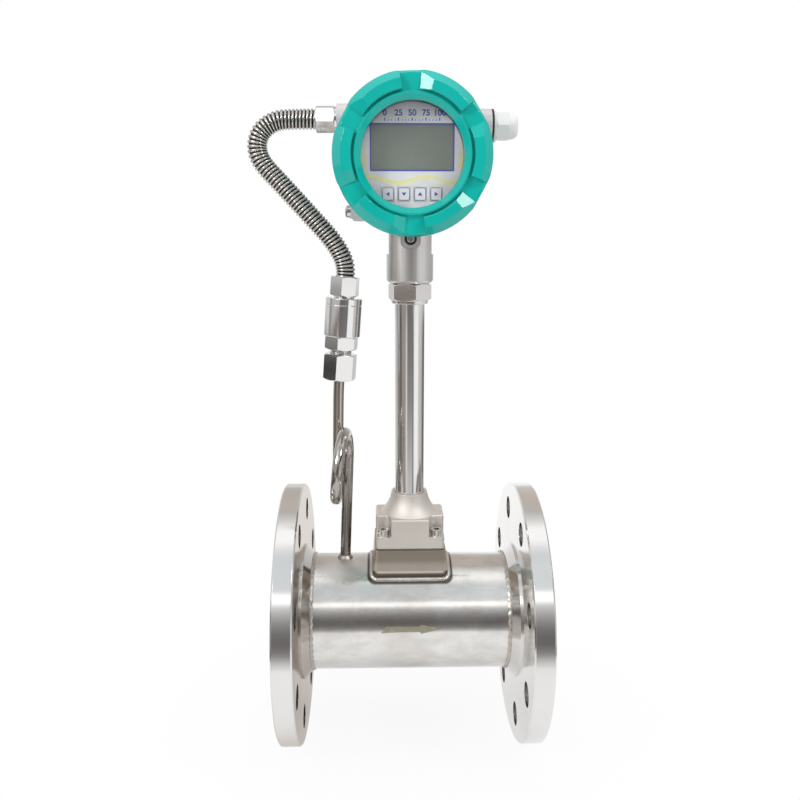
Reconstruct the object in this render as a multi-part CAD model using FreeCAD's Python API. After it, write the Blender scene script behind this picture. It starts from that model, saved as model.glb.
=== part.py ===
import FreeCAD, Part
import math
import os

# A DN80 vortex flow meter with a rotatable two-compartment head and a pressure sensor on a pigtail siphon.
# Millimetres. The origin is the centre of the inlet flange's sealing face, +X runs with the flow,
# +Z runs up the stem, and the display faces -Y.

V = FreeCAD.Vector
X_WAY = V(1, 0, 0)
Y_WAY = V(0, 1, 0)
Z_WAY = V(0, 0, 1)
FRONT = V(0, -1, 0)
BACK = V(0, 1, 0)

# Clearances
SLIP = 0.1            # between pieces that slide together and are then fixed, on the radius
RUNNING = 0.05        # between the turning spigot and its bore, on the radius
THREAD_GAP = 0.3      # between the crests of a screwed joint that is drawn plain, on the radius
CLEAR = 0.3           # between pieces that move past each other

# Flanged pipe
FACE_TO_FACE = 200.0
PIPE_OD = 89.0
PIPE_WALL = 4.5
FLANGE_OD = 200.0
BOLT_CIRCLE = 160.0
BOLT_COUNT = 8
BOLT_HOLE_D = 18.0
RIM_THICKNESS = 15.0
RIM_CHAMFER = 1.0
RAISED_FACE_OD = 138.0
RAISED_FACE = 3.0
HUB_OD = 104.0
HUB_STRAIGHT = 1.2
HUB_CONE = 5.6
HUB_LIP = 0.8         # the hub's end stands this far proud of the pipe

# Bluff body across the bore
BAR_FRONT = 22.0
BAR_REAR = 13.0
BAR_NOSE = 3.0
BAR_LENGTH = 24.0
BAR_TO_PROBE = 12.0   # from the bar's rear face to the probe's axis

# Sensor seat on the pipe
SEAT_TOP_Z = 59.6
SEAT_TOP_SIZE = (53.8, 50.0)
SEAT_FOOT_Z = 43.8
SEAT_BOTTOM_SIZE = (56.6, 52.6)
SEAT_CORNER = 3.5
FOOT_SIZE = (55.0, 49.0)
WELD_SIZE = (61.2, 52.8)
WELD_HEIGHT = 2.5
GASKET_THICKNESS = 1.2
GASKET_INSET = 0.5

# Vortex probe
PROBE_FLANGE_D = 34.0
PROBE_FLANGE_T = 5.0
PROBE_STEM_D = 18.0
PROBE_BORE_D = 19.0
PROBE_SEAL_T = 1.2
PROBE_STEM_END_Z = 33.0
BLADE_END_Z = 6.0
BLADE_LENGTH = 15.0
BLADE_THICKNESS = 4.5
PROBE_HEAD_D = 15.0
PROBE_HEAD_HEIGHT = 5.0

# Stem base casting
BASE_SIZE = (51.6, 48.0)
BASE_TOP_Z = 83.2
BASE_CORNER = 2.5
BASE_EDGE = 0.8
POCKET_FLOOR_Z = 69.6
POCKET_R = 5.8
DECK_CORNER = 1.8
BASE_SCREW_EDGE = (5.8, 5.0)  # from the casting's sides to the screws' axes
FLARE_BOTTOM_R = 21.7
FLARE_WAIST = (15.9, 7.8)     # radius, and height under the lip
LIP_Z = 99.1
LIP_R = 13.6
LIP_MOUTH = 1.3
TUBE_SOCKET = 6.0
WIRE_BORE_D = 16.0
PROBE_HEAD_RECESS = 7.0

# M5 socket head screws
M5_D = 5.0
M5_HEAD_D = 8.5
M5_HEAD_H = 5.0
M5_SOCKET = 4.0
M5_SOCKET_DEPTH = 2.6
BASE_SCREW_LENGTH = 22.0

# Stem tube and the fittings above it
STEM_OD = 22.0
STEM_WALL = 2.0
COLLAR_Z = 243.0
COLLAR_R = 13.6
COLLAR_HEIGHT = 2.3
NECK_HEX_FLATS = 28.0
NECK_HEX_HEIGHT = 12.3
NECK_HEX_TURN = 284.0         # degrees, the direction of one corner
STEM_IN_HEX = 7.0
NIPPLE_R = 12.0
NIPPLE_HEIGHT = 10.5
HEX_TO_ADAPTER = 0.5
ADAPTER_R = 17.0
ADAPTER_HEIGHT = 36.0
ADAPTER_CHAMFER = 1.7
ADAPTER_FLATS = 30.6
ADAPTER_FLATS_UP = 20.2       # height of the wrench flats' lower end above the adapter's foot
ADAPTER_WEB = 4.5
SPOT_WIDTH = 14.1
SPOT_UP = 24.8                # height of the spot face's lower edge above the adapter's foot
SPOT_CORNER = 3.0
LOCK_UP = 31.4                # height of the lock screw above the adapter's foot
LOCK_D = 5.2
LOCK_OUT = 1.4                # the screw stands this far out of the spot face
LOCK_SEAL_SECTION = 1.7
LOCK_SEAL_SEAT = 1.3
SPIGOT_R = 13.0
SPIGOT_GROOVE_R = 12.0
SPIGOT_GROOVE_W = 6.0

# Pigtail siphon
SIPHON_OD = 8.0
SIPHON_ID = 5.0
SIPHON_X = 50.0
LOOP_R = 24.4
LOOP_Z = 126.2
LOOP_START_X = 54.4
LOOP_ADVANCE = 8.6
LOOP_DRAW = 3.2               # the loop is pulled sideways by this much
LOOP_CORNERS = 12
LOOP_SHARE = 0.49
SIPHON_WELD_R = 6.0
SIPHON_WELD_HEIGHT = 2.6

# Pressure sensor stack, on its own leaning axis
STACK_X = 47.3
STACK_Z = 185.6
STACK_LEAN = 4.3              # degrees
STACK_HEX_TURN = 260.0
UNION_FLATS = 22.0
UNION_START = 1.0
UNION_LENGTH = 19.3
UNION_FLOOR = 4.2
FERRULE_R = 7.4
FERRULE_LENGTH = 3.8
WASHER_T = 0.8
PORT_NECK_R = 7.7
PORT_NECK_SHOWN = 3.4
PORT_HEX_LENGTH = 9.8
PORT_BORE_D = 5.0
BARREL_R = 13.4
BARREL_LENGTH = 28.2
BARREL_EDGE = 0.5
BARREL_SEAM_DOWN = 4.6        # from the barrel's top to the seam of its lid
BARREL_SEAM = (0.7, 0.35)     # width and depth
BARREL_NECK_R = 7.6
BARREL_NECK = 1.4
HOSE_NUT_FLATS = 19.0
HOSE_NUT_LENGTH = 14.0
HOSE_SPIGOT_R = 6.0
HOSE_SPIGOT = 5.0

# Corrugated hose, drawn plain
HOSE_OD = 14.4
HOSE_ID = 10.0
HOSE_TOP_RUN = 14.0
HOSE_ROUTE = [
    V(3.8, 4.8, 371.2), V(-8.0, 3.4, 361.2), V(-8.2, 2.0, 345.0), V(8.6, 0.4, 327.4),
    V(29.0, -1.2, 305.2), V(43.4, -1.4, 289.4), V(50.9, -0.7, 277.6),
]
HOSE_FOOT_RUN = 6.0

# Head: two covers on one cast housing
HEAD_Z = 343.3
BARREL_OUT_R = 47.5
BARREL_HALF = 26.5
SPIGOT_END = 40.0
COVER_THREAD_R = 44.0
CAVITY_R = 40.0
PARTITION = (6.0, 10.0)
NECK_BOSS_R = 16.5
NECK_BOSS_TOP_R = 20.0
NECK_TO_ADAPTER = 0.3
HEAD_WIRE_D = 11.0
PORT_BACK = 6.0               # the side entries lie this far behind the stem's axis
LEFT_BOSS_R = 10.5
LEFT_BOSS_END = 51.6
LEFT_BOSS_UP = 28.9
LEFT_THREAD_R = 6.0
LEFT_THREAD_IN = 10.0
RIGHT_BOSS_R = 12.0
RIGHT_BOSS_END = 57.4
RIGHT_BOSS_UP = 24.2
RIGHT_THREAD_R = 7.9
BOSS_DRAFT = 1.5
LUG_LEFT = 42.4
LUG_BOTTOM = 41.6
LUG_THICKNESS = 13.0
EARTH_SCREW_DOWN = 35.0

# Hose end nut and cable gland
TOP_NUT_FLATS = 17.0
TOP_NUT_LENGTH = 13.2
TOP_NUT_COLLAR = 1.6
GLAND_WASHER_T = 1.5
GLAND_FLANGE_R = 11.0
GLAND_FLANGE_T = 1.7
GLAND_THREAD_R = 8.0
GLAND_THREAD_OUT = 7.6
GLAND_THREAD_IN = 11.0
GLAND_BORE_R = 5.5
GLAND_NUT_FLATS = 18.0
GLAND_NUT_HEX = 9.4
GLAND_DOME = 6.0
GLAND_DOME_END_R = 6.4
GLAND_MOUTH_R = 4.2
GLAND_SEAL_R = 3.5
GLAND_SEAL_LENGTH = 9.0

# Covers
COVER_R = 52.4
COVER_FLAT_R = 51.2           # from the axis to the flats between the grips
COVER_FLAT_UP = 8.0           # the flats start this far above the cover's foot
COVER_FOOT = 27.0
COVER_SHOULDER = 51.5
COVER_FACE = 54.5
COVER_FACE_R = 49.8
COVER_BORE_END = 40.6
LUG_COUNT = 6
GRIP_START = 40.0             # degrees, the steep end of the first grip
GRIP_SPAN = 44.0
GRIP_IN_R = 39.9
GRIP_OUT_R = 52.1
GRIP_TOP_R = 46.6             # where the grip's outer bevel ends
GRIP_TOP = 59.3
GRIP_BEVEL_UP = 1.2           # height of the bevel's start above the cover's shoulder
GRIP_EDGE = 0.6
RAMP_DEG = 27.0
RING_OUT_R = 38.8
RING_TOP_R = 38.2
RING_IN_R = 36.9
RING_TOP = 57.2
WINDOW_R = 33.5
WINDOW_LIP = 51.5
GLASS_R = 38.2
GLASS_BORE_R = 38.7
GLASS_T = 6.0
GLASS_GASKET_T = 1.0
RETAINER_T = 4.0
COVER_SEAL_SECTION = 2.2
COVER_SEAL_GROOVE = (28.4, 31.0)
BLANK_INSIDE = 49.0
BLANK_RECESS_R = 30.0
BLANK_RECESS = 1.5

# Display
PLATE_FRONT = 38.5
PLATE_T = 1.5
PLATE_R = 38.0
LCD_SIZE = (56.4, 30.0)
LCD_UP = 5.6
LCD_SUNK = 0.3
LCD_FRAME = 2.5
FILM_T = 0.2
FILM_WINDOW = (54.2, 28.8)
KEY_SIZE = (8.0, 8.8)
KEY_PITCH = 10.7
KEY_DOWN = 24.3
KEY_OUT = 0.6
KEY_GAP = 0.25
KEY_FLANGE = 0.8
KEY_FLANGE_T = 0.8
KEY_TRAVEL = 0.4
KEY_NAMES = ("key_left", "key_down", "key_up", "key_right")
KEYPAD_T = 0.8
KEYPAD_MARGIN = 1.5
KEYPAD_RELIEF = 1.0           # between the pad and the spacers
DOME_R = (3.0, 2.0)
BOARD_R = 37.5
BOARD_T = 1.6
BOARD_BACK = 30.0
MODULE_R = 34.0
MODULE_FRONT = 28.0
DISPLAY_SCREW_R = 34.5
DISPLAY_SCREW_ANGLES = (0.0, 90.0, 180.0, 270.0)
M3_D = 2.8
M3_HEAD_D = 5.2
SPACER_D = 4.6

# Terminals in the rear compartment
TERMINAL_BOSS = 2.0
TERMINAL_BOARD_R = 35.0
TERMINAL_BLOCK = (46.0, 18.0, 13.0)
TERMINAL_STEP = 5.0
TERMINAL_COUNT = 6
TERMINAL_WAYS = 7.0
TERMINAL_SCREW_R = 2.3
TERMINAL_SCREW_OUT = 28.5
PAN_HEAD = (2.8, 1.8)
EARTH_HEAD = (4.5, 3.0)
EARTH_SHANK = 8.0
EARTH_WASHER = (5.2, 0.8)

# Worked out from the sizes above
MID_X = FACE_TO_FACE / 2
PIPE_R = PIPE_OD / 2
BORE_R = PIPE_R - PIPE_WALL
FLANGE_R = FLANGE_OD / 2
HUB_END = RAISED_FACE + RIM_THICKNESS + HUB_STRAIGHT + HUB_CONE
GASKET_TOP_Z = SEAT_TOP_Z + GASKET_THICKNESS
BASE_SCREWS = [side - 2 * edge for side, edge in zip(BASE_SIZE, BASE_SCREW_EDGE)]
HEX_Z = COLLAR_Z + COLLAR_HEIGHT
HEX_TOP_Z = HEX_Z + NECK_HEX_HEIGHT
ADAPTER_Z = HEX_TOP_Z + HEX_TO_ADAPTER
ADAPTER_TOP_Z = ADAPTER_Z + ADAPTER_HEIGHT
LOCK_Z = ADAPTER_Z + LOCK_UP
SPOT_Y = math.sqrt(ADAPTER_R ** 2 - (SPOT_WIDTH / 2) ** 2)
SPIGOT_FOOT_Z = ADAPTER_Z + NIPPLE_HEIGHT + ADAPTER_WEB + CLEAR
HEAD = V(MID_X, 0, HEAD_Z)
STACK_FOOT = V(STACK_X, 0, STACK_Z)
STACK_WAY = V(math.sin(math.radians(STACK_LEAN)), 0, math.cos(math.radians(STACK_LEAN)))
GLASS_FRONT = WINDOW_LIP - GLASS_GASKET_T
GLASS_BACK = GLASS_FRONT - GLASS_T

parts = {}


# Shape helpers

def turned(profile):
    """A solid of revolution about +Z from a closed outline of (radius, height) points."""
    points = [V(r, 0, z) for r, z in profile]
    return Part.Face(Part.makePolygon(points + points[:1])).revolve(V(0, 0, 0), Z_WAY, 360)


def rod(radius, length, start=0.0):
    """A plain cylinder on +Z."""
    return Part.makeCylinder(radius, length, V(0, 0, start))


def ring(outer, inner, length, start=0.0):
    """A plain ring on +Z."""
    return rod(outer, length, start).cut(rod(inner, length, start))


def hex_bar(flats, length, start=0.0, turn=0.0):
    """A hexagonal bar on +Z with the corners of both ends turned off, one corner in the direction turn."""
    corner = flats / math.sqrt(3)
    bevel = (corner - flats / 2) * math.tan(math.radians(30))
    angles = [math.radians(turn + 60 * k) for k in range(6)]
    points = [V(corner * math.cos(a), corner * math.sin(a), start) for a in angles]
    bar = Part.Face(Part.makePolygon(points + points[:1])).extrude(V(0, 0, length))
    end = start + length
    inside = [(0, start), (flats / 2, start), (corner, start + bevel), (corner, end - bevel), (flats / 2, end), (0, end)]
    return bar.common(turned(inside))


def torus(major, section, height=0.0):
    """An O-ring lying flat at a height."""
    return Part.makeTorus(major, section / 2, V(0, 0, height))


def rounded_outline(size, corner, height):
    """A rectangle with round corners, centred on the Z axis at a height."""
    a = size[0] / 2
    b = size[1] / 2
    edges = []
    start = V(a, -b + corner, height)
    for sx, sy, quarter in ((1, 1, 0), (-1, 1, 90), (-1, -1, 180), (1, -1, 270)):
        centre = V(sx * (a - corner), sy * (b - corner), height)
        first, middle, last = [
            centre + V(math.cos(math.radians(quarter + t)), math.sin(math.radians(quarter + t)), 0) * corner
            for t in (0, 45, 90)
        ]
        edges.append(Part.LineSegment(start, first).toShape())
        edges.append(Part.Arc(first, middle, last).toShape())
        start = last
    return Part.Wire(edges)


def slab(size, corner, bottom, top):
    """An upright block with round corners, centred on the Z axis."""
    return Part.Face(rounded_outline(size, corner, bottom)).extrude(V(0, 0, top - bottom))


def block(low, high):
    """A box between two corners."""
    return Part.makeBox(high[0] - low[0], high[1] - low[1], high[2] - low[2], V(*low))


def placed(shape, base, way):
    """The shape with its +Z turned to a direction and its origin moved to a point."""
    moved = shape.copy()
    moved.Placement = FreeCAD.Placement(base, FreeCAD.Rotation(Z_WAY, way))
    return moved


def on_stem(shape):
    """A shape drawn on the stem's axis, moved to its place along the pipe."""
    moved = shape.copy()
    moved.translate(V(MID_X, 0, 0))
    return moved


def in_head(shape):
    """A shape drawn facing +Z with +Y up, set into the head so that it faces the reader."""
    return placed(shape, HEAD, FRONT)


def in_head_rear(shape):
    """The same, set into the head so that it faces the other way."""
    return placed(shape, HEAD, BACK)


def on_stack(shape):
    """A shape drawn on +Z, set on the pressure sensor's leaning axis."""
    return placed(shape, STACK_FOOT, STACK_WAY)


def on_side(shape, side, up):
    """A shape drawn on +Z, set on a side entry of the head: side is -1 or 1, up is its height over the centre."""
    return placed(shape, HEAD + V(0, PORT_BACK, up), V(side, 0, 0))


def around(shape, count, step=None):
    """Copies of a shape turned about the Z axis."""
    copies = []
    for k in range(count):
        copy = shape.copy()
        copy.rotate(V(0, 0, 0), Z_WAY, k * (step or 360 / count))
        copies.append(copy)
    return copies


def fused(shapes):
    """One solid from shapes that overlap or meet."""
    return shapes[0].multiFuse(shapes[1:]).removeSplitter()


def route_wire(points, share):
    """Straight runs joined by tangent arcs, each as large as share of its shorter run allows, and their radii."""
    edges = []
    radii = []
    start = points[0]
    for before, corner, after in zip(points, points[1:], points[2:]):
        back = before - corner
        on = after - corner
        reach = share * min(back.Length, on.Length)
        back.normalize()
        on.normalize()
        half_turn = (math.pi - back.getAngle(on)) / 2
        radius = reach / math.tan(half_turn)
        inward = (back + on).normalize()
        middle = corner + inward * (radius / math.cos(half_turn) - radius)
        edges.append(Part.LineSegment(start, corner + back * reach).toShape())
        edges.append(Part.Arc(corner + back * reach, middle, corner + on * reach).toShape())
        start = corner + on * reach
        radii.append(round(radius, 1))
    edges.append(Part.LineSegment(start, points[-1]).toShape())
    return Part.Wire(edges), radii


def pipe_along(name, points, outer, inner, share=0.45):
    """A round pipe along a route, with its radii and its volume against section times length."""
    wire, radii = route_wire(points, share)
    way = points[1] - points[0]
    circles = [Part.Wire(Part.makeCircle(r, points[0], way)) for r in (outer / 2, inner / 2)]
    pipe = wire.makePipe(Part.makeFace(circles, "Part::FaceMakerBullseye"))
    section = math.pi * (outer ** 2 - inner ** 2) / 4
    share_found = pipe.Volume / (section * wire.Length)
    print(name, "length", round(wire.Length, 1), "radii", radii, "volume share", round(share_found, 4))
    return pipe


# Flanged pipe

def flange():
    """One flange on +Z, its sealing face at zero, with its hub, bore and bolt holes."""
    back = RAISED_FACE + RIM_THICKNESS
    hub_r = HUB_OD / 2
    body = turned([
        (BORE_R, 0), (RAISED_FACE_OD / 2, 0), (RAISED_FACE_OD / 2, RAISED_FACE),
        (FLANGE_R - RIM_CHAMFER, RAISED_FACE), (FLANGE_R, RAISED_FACE + RIM_CHAMFER),
        (FLANGE_R, back - RIM_CHAMFER), (FLANGE_R - RIM_CHAMFER, back),
        (hub_r, back), (hub_r, back + HUB_STRAIGHT), (PIPE_R + HUB_LIP, HUB_END), (BORE_R, HUB_END),
    ])
    hole = rod(BOLT_HOLE_D / 2, back)
    hole.translate(V(BOLT_CIRCLE / 2, 0, 0))
    hole.rotate(V(0, 0, 0), Z_WAY, 180 / BOLT_COUNT)
    return body.cut(Part.makeCompound(around(hole, BOLT_COUNT)))


def flanged_pipe():
    """The pipe between its two flanges, and the bluff body welded across its bore."""
    parts["inlet_flange"] = placed(flange(), V(0, 0, 0), X_WAY)
    parts["outlet_flange"] = placed(flange(), V(FACE_TO_FACE, 0, 0), V(-1, 0, 0))
    tube = placed(ring(PIPE_R, BORE_R, FACE_TO_FACE - 2 * HUB_END, HUB_END), V(0, 0, 0), X_WAY)
    probe_hole = on_stem(rod(PROBE_BORE_D / 2, PIPE_R))
    tap = Part.makeCylinder(SIPHON_ID / 2, PIPE_R, V(SIPHON_X, 0, 0))
    parts["meter_tube"] = tube.cut(probe_hole).cut(tap)

    rear = MID_X - BAR_TO_PROBE
    nose = rear - BAR_LENGTH
    outline = [
        V(nose, -BAR_FRONT / 2, -PIPE_R), V(nose + BAR_NOSE, -BAR_FRONT / 2, -PIPE_R),
        V(rear, -BAR_REAR / 2, -PIPE_R), V(rear, BAR_REAR / 2, -PIPE_R),
        V(nose + BAR_NOSE, BAR_FRONT / 2, -PIPE_R), V(nose, BAR_FRONT / 2, -PIPE_R),
    ]
    bar = Part.Face(Part.makePolygon(outline + outline[:1])).extrude(V(0, 0, PIPE_OD))
    parts["shedder_bar"] = bar.common(Part.makeCylinder(BORE_R, FACE_TO_FACE, V(0, 0, 0), X_WAY))


# Sensor seat, probe and stem base

def screw_places():
    """The four screws' places on the stem's axis."""
    return [V(sx * BASE_SCREWS[0] / 2, sy * BASE_SCREWS[1] / 2, 0) for sx in (-1, 1) for sy in (-1, 1)]


def at_screws(shape):
    """A compound of the shape at each of the four screws."""
    copies = []
    for place in screw_places():
        copy = shape.copy()
        copy.translate(place)
        copies.append(copy)
    return Part.makeCompound(copies)


def sensor_seat():
    """The drafted seat, cut to the pipe, with its weld bead and the gasket on top."""
    pipe = Part.makeCylinder(PIPE_R, FACE_TO_FACE, V(-MID_X, 0, 0), X_WAY)
    drafted = Part.makeLoft([
        rounded_outline(SEAT_BOTTOM_SIZE, SEAT_CORNER, SEAT_FOOT_Z),
        rounded_outline(SEAT_TOP_SIZE, SEAT_CORNER, SEAT_TOP_Z),
    ], True, True)
    foot = slab(FOOT_SIZE, SEAT_CORNER, 0, SEAT_FOOT_Z)
    ledge_z = SEAT_TOP_Z - PROBE_FLANGE_T - PROBE_SEAL_T
    seat = fused([drafted, foot]).cut(pipe)
    seat = seat.cut(rod(PROBE_FLANGE_D / 2 + SLIP, SEAT_TOP_Z - ledge_z, ledge_z))
    seat = seat.cut(rod(PROBE_BORE_D / 2, SEAT_TOP_Z))
    thread_depth = BASE_SCREW_LENGTH - (POCKET_FLOOR_Z - SEAT_TOP_Z) + 2
    seat = seat.cut(at_screws(rod(M5_D / 2 + RUNNING, thread_depth, SEAT_TOP_Z - thread_depth)))
    parts["sensor_seat"] = on_stem(seat)

    bead = Part.makeCylinder(PIPE_R + WELD_HEIGHT, FACE_TO_FACE, V(-MID_X, 0, 0), X_WAY).cut(pipe)
    bead = bead.common(slab(WELD_SIZE, SEAT_CORNER + 1, 0, SEAT_TOP_Z)).cut(foot).cut(drafted)
    parts["seat_weld"] = on_stem(bead)

    size = (BASE_SIZE[0] - 2 * GASKET_INSET, BASE_SIZE[1] - 2 * GASKET_INSET)
    gasket = slab(size, BASE_CORNER, SEAT_TOP_Z, GASKET_TOP_Z).cut(rod(PROBE_HEAD_D / 2 + SLIP, GASKET_TOP_Z))
    gasket = gasket.cut(at_screws(rod(M5_D / 2 + CLEAR, GASKET_TOP_Z)))
    parts["seat_gasket"] = on_stem(gasket)


def vortex_probe():
    """The piezo probe: clamped flange, stem, sensing blade in the flow, cable head above."""
    flange_z = SEAT_TOP_Z - PROBE_FLANGE_T
    body = turned([
        (0, PROBE_STEM_END_Z), (PROBE_STEM_D / 2 - 1, PROBE_STEM_END_Z), (PROBE_STEM_D / 2, PROBE_STEM_END_Z + 1),
        (PROBE_STEM_D / 2, flange_z), (PROBE_FLANGE_D / 2, flange_z), (PROBE_FLANGE_D / 2, SEAT_TOP_Z),
        (PROBE_HEAD_D / 2, SEAT_TOP_Z), (PROBE_HEAD_D / 2, SEAT_TOP_Z + PROBE_HEAD_HEIGHT),
        (0, SEAT_TOP_Z + PROBE_HEAD_HEIGHT),
    ])
    blade = slab((BLADE_LENGTH, BLADE_THICKNESS), BLADE_THICKNESS / 2 - 0.05, BLADE_END_Z, PROBE_STEM_END_Z + 1)
    parts["vortex_probe"] = on_stem(fused([body, blade]))
    seal = ring(PROBE_FLANGE_D / 2 - SLIP, PROBE_BORE_D / 2 + 3, PROBE_SEAL_T, flange_z - PROBE_SEAL_T)
    parts["probe_seal"] = on_stem(seal)


def screw_pocket(place):
    """The room over one screw of the stem base: open to the front and the side, with one round inner corner."""
    out_x = math.copysign(BASE_SIZE[0], place.x)
    out_y = math.copysign(BASE_SIZE[1], place.y)
    in_x = place.x - math.copysign(POCKET_R, place.x)
    in_y = place.y - math.copysign(POCKET_R, place.y)
    top = BASE_TOP_Z + FLARE_BOTTOM_R
    beside = block((min(in_x, out_x), min(place.y, out_y), POCKET_FLOOR_Z), (max(in_x, out_x), max(place.y, out_y), top))
    behind = block((min(place.x, out_x), min(in_y, out_y), POCKET_FLOOR_Z), (max(place.x, out_x), max(in_y, out_y), top))
    return fused([beside, behind, Part.makeCylinder(POCKET_R, top - POCKET_FLOOR_Z, place + V(0, 0, POCKET_FLOOR_Z))])


def stem_base():
    """The casting that carries the stem: a block with four open screw pockets and a flared neck."""
    pockets = Part.makeCompound([screw_pocket(place) for place in screw_places()])
    body = slab(BASE_SIZE, BASE_CORNER, GASKET_TOP_Z, BASE_TOP_Z).cut(pockets)
    side = BASE_SIZE[0] / 2
    wall = BASE_SCREWS[1] / 2 - POCKET_R
    corners = [
        e for e in body.Edges
        if abs(abs(e.CenterOfMass.x) - side) < 0.01 and abs(abs(e.CenterOfMass.y) - wall) < 0.01
    ]
    body = body.makeFillet(DECK_CORNER, corners)
    body = body.makeChamfer(BASE_EDGE, [e for e in body.Edges if e.BoundBox.ZMin > BASE_TOP_Z - 0.01])
    waist = V(FLARE_WAIST[0], 0, LIP_Z - FLARE_WAIST[1])
    flare_face = Part.Face(Part.Wire([
        Part.LineSegment(V(0, 0, BASE_TOP_Z - 2), V(FLARE_BOTTOM_R, 0, BASE_TOP_Z - 2)).toShape(),
        Part.LineSegment(V(FLARE_BOTTOM_R, 0, BASE_TOP_Z - 2), V(FLARE_BOTTOM_R, 0, BASE_TOP_Z)).toShape(),
        Part.Arc(V(FLARE_BOTTOM_R, 0, BASE_TOP_Z), waist, V(LIP_R, 0, LIP_Z)).toShape(),
        Part.LineSegment(V(LIP_R, 0, LIP_Z), V(0, 0, LIP_Z)).toShape(),
        Part.LineSegment(V(0, 0, LIP_Z), V(0, 0, BASE_TOP_Z - 2)).toShape(),
    ]))
    body = fused([body, flare_face.revolve(V(0, 0, 0), Z_WAY, 360).cut(pockets)])
    body = body.cut(at_screws(rod(M5_D / 2 + CLEAR, POCKET_FLOOR_Z)))
    socket_z = LIP_Z - TUBE_SOCKET
    socket_r = STEM_OD / 2 + SLIP
    body = body.cut(rod(WIRE_BORE_D / 2, LIP_Z))
    body = body.cut(rod(PROBE_HEAD_D / 2 + 2, PROBE_HEAD_RECESS, GASKET_TOP_Z))
    body = body.cut(turned([
        (0, socket_z), (socket_r, socket_z), (socket_r, LIP_Z - LIP_MOUTH), (socket_r + LIP_MOUTH, LIP_Z),
        (socket_r + LIP_MOUTH, LIP_Z + 1), (0, LIP_Z + 1),
    ]))
    parts["stem_base"] = on_stem(body)

    socket = hex_bar(M5_SOCKET, M5_SOCKET_DEPTH * 2, M5_HEAD_H - M5_SOCKET_DEPTH)
    screw = fused([rod(M5_HEAD_D / 2, M5_HEAD_H), rod(M5_D / 2, BASE_SCREW_LENGTH, -BASE_SCREW_LENGTH)]).cut(socket)
    screw.translate(V(0, 0, POCKET_FLOOR_Z))
    parts["stem_base_screws"] = on_stem(at_screws(screw))


# Stem and neck

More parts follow.
